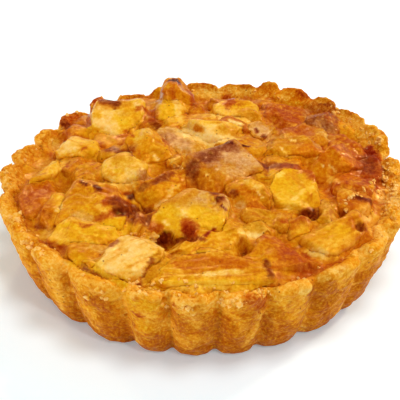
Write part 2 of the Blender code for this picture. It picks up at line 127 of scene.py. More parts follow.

# How each apple piece looks: the colour of its top, which the faces turned up take in part as painted light,
# the colour of its sides, how much it has browned, how deep its fibres are and how many specks of spice it
# has, each from 0 to 1.
Look = namedtuple("Look", "top side brown fibre specks")
APPLE_LOOKS = [Look(*row) for row in (
    (CREAM, YELLOW, 0.05, 0.3, 0.5),
    (ORANGE, ORANGE, 0.5, 0.3, 0.2),
    (PALE, GOLD, 0.15, 0.4, 0.5),
    (YELLOW, GOLD, 0.15, 0.5, 0.1),
    (GOLD, ORANGE, 0.3, 0.4, 0.1),
    (YELLOW, GOLD, 0.15, 0.3, 0.1),
    (AMBER, OLIVE, 0.4, 0.2, 0.1),
    (OLIVE, AMBER, 0.5, 0.2, 0.1),
    (YELLOW, GOLD, 0.15, 0.4, 0.4),
    (PALE, YELLOW, 0.05, 0.5, 0.2),
    (GREY_CREAM_AND_SHEEN, OLIVE, 0.1, 0.4, 0.1),
    (GOLD, GOLD, 0.2, 0.3, 0.3),
    (OLIVE, AMBER, 0.3, 0.2, 0.2),
    (PALE, YELLOW, 0.05, 0.2, 0.1),
    (OLIVE, AMBER, 0.3, 0.3, 0.5),
    (AMBER, OLIVE, 0.2, 0.4, 0.4),
    (GOLD, ORANGE, 0.4, 0.3, 0.3),
    (LAVENDER_SHEEN, AMBER, 0.3, 0.5, 0.4),
    (GOLD, AMBER, 0.25, 0.3, 0.6),
    (GREY_CREAM_AND_SHEEN, YELLOW, 0.1, 0.3, 0.6),
    (GOLD, GOLD, 0.1, 0.9, 0.2),
    (AMBER, YELLOW, 0.2, 1.0, 0.4),
    (CREAM, PALE, 0.0, 0.9, 0.5),
    (OLIVE, OLIVE, 0.3, 0.5, 0.2),
    (GOLD, AMBER, 0.2, 0.5, 0.8),
    (YELLOW, GOLD, 0.2, 0.5, 0.3),
    (YELLOW, GOLD, 0.1, 0.5, 0.2),
    (ORANGE, AMBER, 0.4, 0.4, 0.2),
    (GOLD, AMBER, 0.2, 0.4, 0.2),
    (YELLOW, GOLD, 0.05, 0.3, 0.1),
    (OLIVE, AMBER, 0.3, 0.3, 0.2),
    (LAVENDER_SHEEN, AMBER, 0.1, 0.3, 0.8),
    (ORANGE, RUST, 0.5, 0.3, 0.2),
    (PLUM, RUST, 0.5, 0.3, 0.1),
    (AMBER, ORANGE, 0.3, 0.3, 0.2),
    (ORANGE, RUST, 0.6, 0.3, 0.1),
    (OLIVE, OLIVE, 0.05, 0.6, 0.1),
    (OLIVE, AMBER, 0.3, 0.5, 0.1),
    (GOLD, AMBER, 0.2, 0.8, 0.3),
    (ORANGE, ORANGE, 0.5, 0.4, 0.2),
    (CREAM, AMBER, 0.05, 0.3, 0.1),
    (OLIVE, OLIVE, 0.2, 0.4, 0.5),
    (OLIVE, AMBER, 0.3, 0.4, 0.3),
    (RUST, CARAMEL, 0.7, 0.3, 0.1),
    (AMBER, ORANGE, 0.4, 0.4, 0.2),
)]

# The pieces that can hardly be seen from the front look like these, in turn.
FAR_LOOKS = [Look(*row) for row in (
    (AMBER, AMBER, 0.4, 0.4, 0.2),
    (GOLD, AMBER, 0.3, 0.5, 0.3),
    (ORANGE, RUST, 0.5, 0.3, 0.2),
)]

# Faces that the knife left: the number of the piece, the way that the face looks (a bearing and degrees
# upwards) and how deep the cut goes, in millimetres.
Cut = namedtuple("Cut", "piece bearing tilt depth")
CUTS = [Cut(*row) for row in (
    (1, 225, 5, 1.8),
    (1, 135, 5, 2.4),
    (1, 180, 60, 1.0),
    (5, 275, 10, 0.8),
    (5, 88, 45, 1.7),
    (17, 150, 35, 1.6),
    (18, 215, 30, 1.2),
    (20, 200, 35, 1.4),
)]

# Each piece gets this many more by chance, apart from those whose form the photograph shows.
CHANCE_CUTS = 5
KEPT_WHOLE = (1, 5, 6, 14, 18, 20, 22, 25, 39)


# Meshes.


def add_object(name, mesh):
    thing = bpy.data.objects.new(name, mesh)
    bpy.context.scene.collection.objects.link(thing)
    return thing


def apply_modifiers(thing):
    graph = bpy.context.evaluated_depsgraph_get()
    result = bpy.data.meshes.new_from_object(thing.evaluated_get(graph))
    old = thing.data
    thing.modifiers.clear()
    thing.data = result
    bpy.data.meshes.remove(old)


def merged_copy(node):
    """A new mesh with the shape of a node, its corners joined."""
    shape = bmesh.new()
    shape.from_mesh(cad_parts[node].data)
    bmesh.ops.remove_doubles(shape, verts=shape.verts, dist=0.001 * MM)
    return shape


def mesh_from(name, shape):
    mesh = bpy.data.meshes.new(name)
    shape.to_mesh(mesh)
    shape.free()
    return mesh


def even_out(thing, cell, rounds):
    """Makes one skin of even cells, also of a surface that runs through itself, and smooths it."""
    remesh = thing.modifiers.new("remesh", "REMESH")
    remesh.mode = "VOXEL"
    remesh.voxel_size = cell
    smooth = thing.modifiers.new("smooth", "SMOOTH")
    smooth.iterations = rounds
    smooth.factor = 0.5
    apply_modifiers(thing)


def remeshed(name, shape, cell, rounds):
    """An object with even cells over the shape's surface, its edges rounded by rounds of smoothing."""
    thing = add_object(name, mesh_from(name, shape))
    even_out(thing, cell, rounds)
    thing.data.materials.clear()
    thing.data.shade_smooth()
    return thing


def vertex_array(mesh, field):
    values = np.zeros(len(mesh.vertices) * 3, np.float32)
    mesh.vertices.foreach_get(field, values)
    return values.reshape(-1, 3).astype(float)


def places_of(thing):
    return vertex_array(thing.data, "co")


def normals_of(thing):
    return vertex_array(thing.data, "normal")


def move_to(thing, places):
    """Moves each vertex to its new place."""
    thing.data.vertices.foreach_set("co", places.astype(np.float32).ravel())
    thing.data.update()


def push_out(thing, distance):
    """Moves each vertex along its normal, all by one distance or each by its own."""
    move_to(thing, places_of(thing) + normals_of(thing) * np.reshape(distance, (-1, 1)))


def hollowness(thing):
    """How far each vertex lies below its neighbours' middle, along its normal: more than 0 in a hollow."""
    mesh = thing.data
    edges = np.zeros(len(mesh.edges) * 2, np.int64)
    mesh.edges.foreach_get("vertices", edges)
    edges = edges.reshape(-1, 2)
    places = places_of(thing)
    total = np.zeros_like(places)
    count = np.zeros(len(places))
    for one, other in ((0, 1), (1, 0)):
        np.add.at(total, edges[:, one], places[edges[:, other]])
        np.add.at(count, edges[:, one], 1)
    middle = total / np.maximum(count, 1)[:, None]
    return ((middle - places) * normals_of(thing)).sum(1)


def thin_out(thing, hidden, ratio):
    """Leaves fewer faces where the surface is hidden."""
    group = thing.vertex_groups.new(name="hidden")
    group.add(np.nonzero(hidden)[0].tolist(), 1.0, "REPLACE")
    modifier = thing.modifiers.new("thin", "DECIMATE")
    modifier.ratio = ratio
    modifier.vertex_group = "hidden"
    modifier.vertex_group_factor = 1000.0
    apply_modifiers(thing)
    thing.vertex_groups.clear()


# Patterns.


def wave(places, size, layer=0.0, octaves=1):
    """Smooth noise from about -1 to 1, with bumps of this size. Each layer is another pattern."""
    spots = (np.asarray(places) / size + (layer * 17.3, layer * 5.1, layer * 11.7)).tolist()
    if octaves == 1:
        return np.array([noise.noise(spot) for spot in spots])
    return np.array([noise.fractal(spot, 0.9, 2.1, octaves) for spot in spots])


def crumb_bumps(places, size, layer=0.0):
    """Round bumps of this size side by side: 1 on top of each, about 0 between them."""
    spots = (np.asarray(places) / size + (layer * 7.7, 0.0, layer * 3.1)).tolist()
    return np.array([max(0.0, 1 - 1.15 * noise.voronoi(spot)[0][0]) for spot in spots])


def bends(places, size):
    """Smooth noise in all directions, with bumps of this size."""
    return np.array([noise.noise_vector(spot)[:] for spot in (places / size).tolist()])


def ramp(values, low, high):
    """0 below low, 1 above high, and a smooth step between them."""
    share = np.clip((values - low) / (high - low), 0, 1)
    return share * share * (3 - 2 * share)


def mix(colours, colour, share):
    """Lays a share of a colour over the colours as syrup would: each layer takes its part of the light."""
    share = np.clip(share, 0, 1)[:, None]
    return np.exp(np.log(colours) * (1 - share) + np.log(colour) * share)


def layered(colours, *layers):
    """One colour or each vertex's own, with layers over it in turn: the colour of each and its share."""
    for colour, share in layers:
        colours = mix(colours, colour, share)
    return colours


def bearings_of(places):
    return np.degrees(np.arctan2(places[:, 0], places[:, 1])) % 360


def bearing_gap(bearings, middle):
    return np.abs((bearings - middle + 180) % 360 - 180)


def radius_of(places):
    return np.hypot(places[:, 0], places[:, 1])


def heading(turn, rise):
    """The direction with this bearing and this rise above level, both in radians."""
    return (math.sin(turn) * math.cos(rise), math.cos(turn) * math.cos(rise), math.sin(rise))


def paint(thing, colours, specks):
    """Stores at each vertex what the material reads: a colour, and how many specks there are, 0 to 1."""
    rows = np.ones((len(colours), 4), np.float32)
    rows[:, :3] = np.clip(colours, 0.0005, 0.96)
    rows[:, 3] = specks
    attribute = thing.data.color_attributes.new("tint", "FLOAT_COLOR", "POINT")
    attribute.data.foreach_set("color", rows.ravel())


# Marks: what the oven, the syrup and the spice left on the food, and painted light and shade, where the
# photograph shows them.


# A mark runs from one pixel of the photograph to another, as wide as its width in millimetres to each side.
# Later marks lie over earlier ones.
Mark = namedtuple("Mark", "colour x y to_x to_y width strength")
MARKS = [Mark(*row) for row in (
    # The crust in front: painted light and shade on the flank and middle of each flute, and the rim above
    # them.
    (CRUST_PALE, 50, 276, 62, 308, 1.0, 0.75),
    (CRUST_PALE, 72, 290, 96, 327, 1.0, 0.8),
    (CRUST_PALE, 124, 312, 139, 343, 1.1, 0.8),
    (CRUST_PALE, 170, 322, 186, 346, 1.8, 0.6),
    (CRUST_PALE, 244, 346, 262, 314, 1.1, 0.7),
    (CRUST_PALE, 301, 330, 311, 280, 1.0, 0.75),
    (CRUST_PALE, 335, 315, 352, 284, 1.0, 0.75),
    (CRUST_PALE, 354, 282, 362, 254, 1.2, 0.75),
    (CRUST_SHADE, 72, 296, 86, 318, 1.8, 0.5),
    (CRUST_SHADE, 98, 300, 122, 340, 2.4, 0.65),
    (CRUST_SHADE, 152, 322, 162, 349, 1.6, 0.65),
    (CRUST_SHADE, 212, 322, 232, 348, 2.6, 0.65),
    (CRUST_SHADE, 226, 322, 236, 342, 2.0, 0.7),
    (CRUST_SHADE, 264, 318, 274, 336, 1.6, 0.85),
    (CRUST_SHADE, 326, 280, 332, 300, 2.0, 0.75),
    (CRUST_GOLD, 350, 262, 360, 270, 1.8, 0.6),
    (CRUST_PALE, 58, 266, 78, 280, 2.0, 0.6),
    (CRUST_SHADE, 312, 290, 328, 322, 2.2, 0.85),
    (CRUST_SHADE, 276, 310, 288, 330, 1.4, 0.5),
    (CRUST_SHADE, 356, 276, 364, 288, 1.4, 0.6),
    (CRUST_PALE, 54, 274, 66, 298, 1.2, 0.6),
    (CRUST_SHADE, 196, 318, 204, 336, 1.4, 0.35),
    (CRUST_PALE, 189, 314, 197, 323, 1.6, 0.6),
    # Painted shade at the foot of the wall.
    (CRUST_SHADE, 176, 347, 200, 348, 1.2, 0.7),
    (CRUST_PALE, 142, 310, 158, 328, 1.8, 0.5),
    (CRUST_PALE, 206, 300, 222, 307, 1.4, 0.5),
    (CRUMB_PALE, 376, 188, 394, 202, 2.4, 0.9),
    (GOLD, 115, 294, 148, 306, 2.2, 0.7),
    (CRUST_PALE, 104, 288, 126, 302, 2.0, 0.7),
    (GOLD, 128, 306, 146, 328, 1.6, 0.6),
    # The rim round the back, from the left to the right, with its browned lobes.
    (RUST, 66, 117, 68, 124, 1.6, 0.7),
    (ORANGE, 72, 114, 84, 122, 1.8, 0.6),
    (RUST, 91, 106, 100, 99, 1.8, 0.7),
    (MAROON, 106, 100, 116, 102, 0.8, 0.8),
    (AMBER, 122, 102, 150, 100, 2.4, 0.6),
    (RUST, 136, 109, 146, 110, 0.9, 0.8),
    (PALE, 200, 92, 220, 97, 2.0, 0.6),
    (RUST, 226, 99, 233, 101, 1.2, 0.8),
    (TANGERINE, 258, 92, 276, 92, 2.2, 0.7),
    (TANGERINE, 286, 94, 304, 98, 2.2, 0.7),
    (RUST, 299, 92, 308, 97, 0.9, 0.7),
    (CARAMEL, 314, 108, 334, 110, 2.0, 0.45),
    (MAROON, 321, 104, 332, 105, 0.5, 0.6),
    # Painted highlights on the lobes.
    (PAINTED_HIGHLIGHT, 282, 97, 288, 99, 0.6, 0.7),
    (PAINTED_HIGHLIGHT, 262, 99, 267, 95, 0.6, 0.7),
    (CRUST_PALE, 340, 118, 362, 128, 2.4, 0.6),
    (AMBER, 368, 136, 386, 146, 2.4, 0.6),
    (CRUST_PALE, 352, 126, 374, 140, 2.4, 0.75),
    (PALE, 222, 90, 250, 92, 1.3, 0.65),
    (ORANGE, 240, 103, 256, 103, 1.2, 0.6),
    (PALE, 198, 93, 216, 94, 1.6, 0.6),
    (PALE, 276, 93, 290, 94, 1.4, 0.5),
    (PALE, 251, 92, 261, 93, 1.3, 0.5),
    (CRUST_PALE, 306, 102, 332, 106, 1.2, 0.4),
    # The back left: the tall piece with its burnt tip, the large cube and what lies round them.
    (GOLD, 160, 92, 166, 104, 2.0, 0.8),
    (YELLOW, 168, 104, 174, 118, 2.4, 0.8),
    (CREAM, 176, 102, 180, 116, 1.3, 0.8),
    (GOLD, 182, 92, 186, 102, 1.8, 0.7),
    (RUST, 172, 88, 175, 98, 0.7, 0.6),
    (MAROON, 172, 80, 178, 82, 1.2, 0.95),
    (RUST, 189, 92, 194, 104, 1.3, 0.8),
    (PALE, 181, 106, 180, 122, 0.9, 0.8),
    (CARAMEL, 152, 122, 158, 126, 1.2, 0.8),
    (RUST, 153, 112, 152, 120, 1.3, 0.6),
    (CARAMEL, 103, 101, 116, 103, 1.6, 0.9),
    (ORANGE, 97, 107, 106, 107, 1.3, 0.7),
    (RUST, 91, 112, 90, 124, 1.0, 0.7),
    (ORANGE, 127, 131, 130, 137, 1.3, 0.6),
    (YELLOW, 124, 118, 137, 134, 2.6, 0.8),
    (CREAM, 100, 112, 110, 132, 3.0, 0.8),
    (GOLD, 92, 109, 97, 115, 1.2, 0.7),
    (YELLOW, 98, 139, 114, 142, 1.4, 0.8),
    (RUST, 127, 131, 133, 137, 0.5, 0.8),
    (PINK_CREAM_AND_SHEEN, 119, 113, 128, 114, 1.0, 0.6),
    (GOLD, 128, 108, 136, 116, 1.6, 0.6),
    (CARAMEL, 64, 123, 67, 127, 1.4, 0.9),
    (RUST, 70, 117, 80, 117, 1.2, 0.7),
    (YELLOW, 82, 131, 94, 134, 1.6, 0.8),
    (PAINTED_HIGHLIGHT, 64, 143, 72, 146, 1.6, 0.6),
    (GOLD, 88, 145, 95, 156, 2.0, 0.7),
    (RUST, 83, 149, 85, 149, 0.6, 0.9),
    # Painted shade under the edge of the piece beside the cube.
    (RUST, 94, 162, 104, 151, 0.9, 0.8),
    (ORANGE, 114, 142, 130, 143, 1.2, 0.8),
    # Painted shade in the gap under the cube.
    (CARAMEL, 108, 149, 132, 148, 1.5, 0.9),
    # Painted highlights on the piece at the far left, with a speck between them.
    (PALE, 48, 166, 58, 160, 1.3, 0.7),
    (RUST, 66, 163, 67, 166, 0.6, 0.8),
    (PALE, 54, 169, 64, 163, 1.4, 0.6),
    (RUST, 50, 152, 56, 157, 1.0, 0.5),
    (CREAM, 54, 144, 64, 148, 1.8, 0.6),
    (YELLOW, 93, 144, 100, 158, 2.2, 0.8),
    (OLIVE, 102, 158, 124, 160, 2.4, 0.7),
    # A painted highlight.
    (PALE, 112, 153, 126, 157, 0.7, 0.7),
    # The middle left: the orange cube, the bright yellow one, the flat brown slab.
    (PINK_CREAM_AND_SHEEN, 137, 145, 146, 131, 1.6, 0.8),
    (RUST, 164, 140, 166, 163, 0.9, 0.8),
    (GOLD, 144, 144, 158, 160, 2.6, 0.6),
    # A painted highlight.
    (PALE, 156, 158, 157, 162, 0.6, 0.7),
    (MAROON, 131, 154, 133, 155, 0.6, 0.8),
    (PAINTED_HIGHLIGHT, 127, 166, 133, 178, 2.0, 0.5),
    # Painted shade: in lavender at the yellow cube's right edge, then along the edge between it and the slice
    # before it.
    (LAVENDER_SHEEN, 143, 174, 150, 179, 1.6, 0.7),
    (PLUM, 138, 190, 166, 178, 1.0, 0.6),
    (CARAMEL, 155, 181, 172, 173, 0.9, 0.7),
    (ORANGE, 104, 192, 128, 193, 1.6, 0.9),
    (MAROON, 81, 181, 86, 184, 0.7, 0.95),
    (MAROON, 95, 186, 99, 190, 0.8, 0.95),
    (GREY_CREAM_AND_SHEEN, 165, 131, 182, 134, 1.8, 0.7),
    (LAVENDER_SHEEN, 168, 137, 184, 143, 2.4, 0.75),
    (PINK_CREAM_AND_SHEEN, 176, 142, 192, 151, 1.4, 0.6),
    (PAINTED_HIGHLIGHT, 171, 161, 174, 166, 1.0, 0.6),
    # The back: the long glossy piece, the half moon, the red-brown and the purple one.
    (MAROON, 226, 109, 229, 111, 0.5, 0.9),
    (RUST, 228, 97, 228, 104, 1.3, 0.8),
    (RUST, 226, 105, 260, 107, 0.9, 0.8),
    (PAINTED_HIGHLIGHT, 213, 116, 219, 119, 1.2, 0.6),
    (PALE, 218, 113, 244, 118, 2.8, 0.9),
    # A painted highlight.
    (CREAM, 231, 121, 240, 124, 1.2, 0.9),
    (AMBER, 243, 112, 254, 113, 1.8, 0.6),
    (PALE, 186, 134, 226, 138, 2.6, 0.85),
    (CREAM, 190, 132, 226, 138, 3.4, 0.9),
    (ORANGE, 196, 128, 202, 130, 0.9, 0.8),
    (AMBER, 222, 130, 236, 131, 1.8, 0.6),
    (PINK_CREAM_AND_SHEEN, 256, 128, 266, 133, 2.2, 0.9),
    (MAROON, 256, 129, 257, 132, 0.5, 0.8),
    (MAROON, 263, 137, 266, 137, 0.5, 0.8),
    (RUST, 278, 112, 294, 120, 2.2, 0.6),
    (RUST, 286, 128, 308, 132, 2.2, 0.6),
    (GOLD, 292, 103, 297, 106, 1.6, 0.6),
    (PLUM, 312, 121, 330, 127, 1.8, 0.5),
    (LAVENDER_SHEEN, 318, 124, 334, 132, 1.6, 0.6),
    (LAVENDER_SHEEN, 306, 112, 309, 117, 1.3, 0.6),
    (GREY_CREAM_AND_SHEEN, 320, 131, 330, 138, 1.5, 0.6),
    (GOLD, 341, 126, 352, 132, 2.2, 0.5),
    (RUST, 322, 148, 335, 147, 0.9, 0.7),
    # The large piece in the middle, with its dark back and its pale side.
    (PLUM, 193, 166, 230, 145, 2.0, 0.95),
    (MAROON, 226, 143, 231, 143, 0.9, 0.9),
    (MAROON, 243, 145, 247, 146, 0.7, 0.9),
    (LAVENDER_SHEEN, 210, 164, 224, 159, 1.3, 0.6),
    (PLUM, 205, 159, 224, 152, 1.8, 0.95),
    (GREY_CREAM_AND_SHEEN, 182, 197, 200, 201, 1.8, 0.8),
    (LAVENDER_SHEEN, 184, 197, 198, 203, 2.0, 0.35),
    (PINK_CREAM_AND_SHEEN, 232, 155, 250, 160, 3.2, 0.95),
    (LAVENDER_SHEEN, 236, 162, 250, 170, 3.0, 0.35),
    (GREY_CREAM_AND_SHEEN, 222, 172, 245, 172, 1.8, 0.8),
    (PLUM, 222, 147, 234, 149, 1.6, 0.75),
    (CARAMEL, 192, 172, 200, 182, 1.6, 0.8),
    (AMBER, 204, 180, 218, 180, 2.4, 0.8),
    # Painted shade under the front of the large piece.
    (CARAMEL, 214, 193, 234, 193, 1.1, 0.8),
    (TANGERINE, 242, 190, 256, 196, 1.6, 0.7),
    # More painted shade under it.
    (MAROON, 218, 199, 224, 199, 0.8, 0.9),
    (MAROON, 222, 206, 225, 209, 0.6, 0.8),
    # To the right of it: the amber log, the red-orange wedge, the dark end.
    (OLIVE, 262, 151, 310, 152, 2.2, 0.5),
    (GOLD, 266, 150, 306, 151, 2.2, 0.5),
    # A painted highlight.
    (PALE, 282, 149, 286, 155, 0.5, 0.8),
    (PINK_CREAM_AND_SHEEN, 270, 138, 288, 136, 1.1, 0.5),
    # Painted shade under the log and in the notch below it.
    (CARAMEL, 262, 164, 295, 166, 1.5, 0.9),
    (CARAMEL, 265, 168, 267, 176, 0.9, 0.8),
    (RUST, 298, 169, 312, 177, 1.3, 0.8),
    (RUST, 286, 166, 298, 167, 1.4, 0.7),
    (GOLD, 308, 166, 320, 171, 1.5, 0.8),
    (TANGERINE, 302, 166, 318, 167, 1.6, 0.6),
    (TANGERINE, 308, 158, 346, 170, 4.0, 0.7),
    (GOLD, 304, 164, 322, 174, 2.4, 0.55),
    (GOLD, 334, 155, 342, 160, 2.0, 0.4),
    # A painted highlight.
    (PALE, 330, 179, 335, 181, 1.0, 0.7),
    (RUST, 364, 164, 373, 182, 3.0, 0.85),
    (WINE, 366, 150, 374, 156, 2.0, 0.95),
    (CARAMEL, 368, 158, 370, 170, 1.8, 0.7),
    (MAROON, 357, 199, 370, 202, 1.1, 0.8),
    (CREAM, 344, 195, 350, 192, 0.8, 0.7),
    (ORANGE, 348, 200, 362, 208, 1.8, 0.8),
    (PAINTED_HIGHLIGHT, 305, 183, 310, 186, 1.1, 0.7),
    # A painted highlight.
    (CREAM, 285, 193, 292, 200, 2.0, 0.5),
    # The wedge and the pale piece before it, and the syrup to their left.
    (CREAM, 246, 181, 260, 189, 1.1, 0.7),
    (ORANGE, 250, 207, 273, 208, 1.3, 0.9),
    (GREY_CREAM_AND_SHEEN, 226, 203, 240, 206, 1.3, 0.7),
    (PINK_CREAM_AND_SHEEN, 178, 203, 192, 199, 1.8, 0.4),
    (AMBER, 162, 203, 188, 193, 2.2, 0.6),
    (OLIVE, 170, 203, 182, 200, 1.8, 0.5),
    (PAINTED_HIGHLIGHT, 185, 212, 193, 212, 1.5, 0.8),
    (YELLOW, 198, 212, 214, 222, 2.8, 0.8),
    (YELLOW, 165, 212, 174, 230, 2.4, 0.8),
    (PAINTED_HIGHLIGHT, 164, 222, 168, 225, 0.6, 0.8),
    (WINE, 189, 228, 192, 237, 1.7, 0.95),
    (RUST, 185, 222, 195, 226, 1.2, 0.6),
    (WINE, 206, 235, 214, 229, 0.6, 0.9),
    # Painted shade in the hole.
    (MAROON, 160, 243, 168, 237, 1.5, 0.98),
    (CARAMEL, 168, 240, 204, 240, 0.8, 0.8),
    (ORANGE, 153, 214, 157, 228, 1.4, 0.7),
    (RUST, 151, 226, 160, 228, 0.9, 0.7),
    (GOLD, 141, 201, 172, 190, 2.2, 0.85),
    (PAINTED_HIGHLIGHT, 157, 205, 171, 193, 0.7, 0.8),
    (MAROON, 128, 194, 131, 197, 0.9, 0.95),
    # Dark syrup in the gap before the yellow cube, partly painted shade.
    (RUST, 108, 201, 128, 203, 1.6, 0.9),
    (MAROON, 118, 211, 128, 213, 1.2, 0.9),
    (CARAMEL, 116, 201, 132, 211, 1.8, 0.85),
    (CARAMEL, 132, 208, 150, 212, 1.3, 0.9),
    (CARAMEL, 136, 216, 146, 222, 2.2, 0.65),
    # The left: the large slab, the thin slice beside it and the ridge before them.
    (YELLOW, 76, 198, 86, 212, 2.4, 0.5),
    (GREY_CREAM_AND_SHEEN, 77, 215, 87, 219, 1.8, 0.8),
    (GOLD, 70, 188, 74, 205, 1.6, 0.6),
    (PALE, 53, 217, 60, 205, 0.9, 0.8),
    (CARAMEL, 45, 212, 49, 217, 0.9, 0.8),
    (CARAMEL, 38, 225, 45, 227, 0.9, 0.8),
    (GOLD, 36, 219, 44, 221, 1.4, 0.6),
    (ORANGE, 26, 194, 44, 212, 3.4, 0.7),
    (RUST, 28, 200, 45, 190, 1.8, 0.6),
    (PALE, 48, 232, 60, 238, 1.3, 0.7),
    (YELLOW, 90, 227, 120, 222, 2.0, 0.6),
    (RUST, 40, 240, 65, 249, 0.8, 0.7),
    (GREY_CREAM_AND_SHEEN, 93, 247, 106, 249, 1.5, 0.7),
    (CARAMEL, 111, 246, 116, 241, 0.9, 0.7),
    (AMBER, 70, 184, 78, 200, 2.6, 0.7),
    (PALE, 114, 183, 128, 185, 2.0, 0.7),
    (YELLOW, 112, 226, 128, 232, 2.2, 0.8),
    (RUST, 100, 218, 112, 214, 1.1, 0.7),
    (RUST, 82, 226, 90, 225, 0.7, 0.7),
    (PAINTED_HIGHLIGHT, 99, 206, 104, 210, 1.0, 0.6),
    (AMBER, 68, 250, 84, 254, 2.2, 0.5),
    (YELLOW, 78, 262, 96, 270, 2.2, 0.7),
    (CARAMEL, 82, 268, 106, 279, 0.5, 0.8),
    (YELLOW, 104, 276, 126, 284, 1.0, 0.7),
    # The front: the pale square slice, the long flat piece and the red-brown one.
    (ORANGE, 240, 262, 262, 262, 1.6, 0.4),
    (CREAM, 110, 262, 140, 250, 3.4, 0.5),
    (OLIVE, 148, 282, 161, 254, 1.5, 0.9),
    # Painted shade between the square slice and the wedge.
    (CARAMEL, 140, 285, 152, 258, 0.5, 0.8),
    (PALE, 156, 262, 160, 270, 0.9, 0.6),
    (CREAM, 205, 276, 240, 271, 0.9, 0.7),
    (ORANGE, 195, 261, 235, 259, 1.4, 0.6),
    (YELLOW, 172, 283, 235, 282, 1.3, 0.8),
    (PALE, 172, 285, 230, 284, 1.2, 0.6),
    (ORANGE, 180, 265, 238, 264, 1.6, 0.7),
    # Painted shade in the gap.
    (MAROON, 242, 242, 245, 253, 1.1, 0.9),
    (CREAM, 245, 231, 256, 234, 1.6, 0.8),
    (OLIVE, 232, 228, 243, 230, 1.6, 0.6),
    (GOLD, 248, 246, 264, 258, 2.6, 0.85),
    (CARAMEL, 266, 262, 271, 275, 0.9, 0.85),
    (RUST, 304, 256, 309, 268, 1.0, 0.8),
    # The right: the hole by the curved sliver, the layered piece and the red gap behind it. Then more on the
    # pieces in the middle and before them.
    # Painted shade in the hole.
    (MAROON, 306, 216, 316, 214, 1.7, 0.98),
    (RUST, 283, 222, 305, 218, 0.7, 0.7),
    (GOLD, 318, 205, 320, 222, 1.0, 0.7),
    (CREAM, 314, 252, 322, 254, 1.4, 0.7),
    (YELLOW, 306, 232, 342, 230, 2.2, 0.6),
    (ORANGE, 345, 246, 366, 236, 1.6, 0.7),
    (ORANGE, 340, 216, 354, 224, 2.0, 0.6),
    (CARAMEL, 342, 213, 361, 228, 1.1, 0.9),
    (RUST, 314, 271, 345, 259, 0.6, 0.8),
    (YELLOW, 268, 176, 284, 190, 3.0, 0.7),
    (GOLD, 292, 176, 306, 182, 2.0, 0.6),
    # Painted shade on the left of the yellow piece.
    (AMBER, 268, 192, 273, 206, 1.6, 0.7),
    (PAINTED_HIGHLIGHT, 277, 176, 283, 172, 0.7, 0.7),
    (PAINTED_HIGHLIGHT, 287, 208, 304, 190, 0.6, 0.7),
    (GREY_CREAM_AND_SHEEN, 228, 202, 240, 207, 1.4, 0.8),
    (OLIVE, 232, 216, 256, 224, 2.6, 0.7),
    (CREAM, 243, 233, 254, 237, 1.4, 0.8),
    (AMBER, 248, 247, 268, 250, 2.6, 0.8),
    (RUST, 286, 252, 306, 272, 2.2, 0.6),
    (GOLD, 302, 236, 336, 240, 2.2, 0.6),
    (PALE, 322, 246, 352, 240, 1.4, 0.6),
    # The golden front of the large cube.
    (GOLD, 97, 134, 126, 142, 2.2, 0.85),
    # The rim in front.
    (CREAM, 322, 278, 346, 268, 1.2, 0.6),
    (CREAM, 302, 292, 312, 288, 1.2, 0.6),
    (CRUMB_PALE, 366, 212, 382, 232, 2.8, 0.7),
    (RUST, 250, 301, 264, 302, 1.7, 0.55),
    (CRUST_PALE, 52, 258, 66, 269, 1.5, 0.7),
    (CRUST_PALE, 293, 285, 304, 300, 1.3, 0.6),
    (RUST, 132, 312, 143, 317, 0.5, 0.7),
)]

# Small painted highlights: glints where the syrup has crinkled.
MARKS += [Mark(PAINTED_HIGHLIGHT, *row) for row in (
    (153, 153, 158, 161, 0.35, 0.9),
    (148, 165, 152, 168, 0.3, 0.8),
    (171, 160, 178, 158, 0.35, 0.8),
    (174, 165, 182, 168, 0.35, 0.8),
    (206, 175, 212, 180, 0.4, 0.8),
    (243, 182, 254, 188, 0.35, 0.9),
    (256, 190, 262, 197, 0.35, 0.8),
    (280, 148, 286, 156, 0.35, 0.9),
    (289, 138, 295, 141, 0.35, 0.9),
    (316, 158, 322, 166, 0.35, 0.9),
    (331, 166, 335, 172, 0.4, 0.8),
    (232, 122, 243, 124, 0.35, 0.9),
    (211, 124, 216, 126, 0.4, 0.8),
    (168, 190, 178, 186, 0.35, 0.8),
    (140, 213, 150, 216, 0.35, 0.9),
    (157, 205, 170, 196, 0.3, 0.8),
    (56, 213, 62, 206, 0.4, 0.7),
    (193, 275, 214, 272, 0.4, 0.8),
    (222, 272, 238, 270, 0.35, 0.7),
    (318, 250, 328, 254, 0.5, 0.6),
)]

# Hollows between the pieces: from one pixel of the photograph to another, as wide and deep as this in
# millimetres.
Pit = namedtuple("Pit", "x y to_x to_y width depth")
PITS = [Pit(*row) for row in (
    (158, 244, 168, 238, 1.6, 3.0),
    (305, 216, 315, 213, 1.5, 3.2),
    (242, 243, 245, 252, 1.3, 2.5),
    (118, 211, 129, 213, 1.3, 1.5),
    (187, 232, 192, 237, 1.1, 1.5),
    (145, 213, 150, 222, 1.3, 1.5),
    (362, 150, 374, 152, 1.6, 1.2),
    (342, 212, 360, 226, 1.0, 1.6),
)]

# The edges of the marks waver by this much, in bumps of this size.
MARK_WAVER = 0.5 * MM
MARK_WAVER_SIZE = 1.6 * MM

# No mark counts as shorter than this.
SHORTEST_LINE = 0.001 * MM


def pixel_ray(x, y):
    """The direction in which the camera sees a pixel of the photograph."""
    reach = LENS / SENSOR_WIDTH * IMAGE_SIZE
    direction = Vector((x - IMAGE_SIZE / 2, IMAGE_SIZE / 2 - y, -reach)).normalized()
    return bpy.context.scene.camera.matrix_world.to_3x3() @ direction


def surface_of(things):
    """All these pieces as one surface to look for hits on."""
    corners = []
    faces = []
    for thing in things:
        start = len(corners)
        corners += [vertex.co[:] for vertex in thing.data.vertices]
        faces += [[start + index for index in face.vertices] for face in thing.data.polygons]
    return BVHTree.FromPolygons(corners, faces)


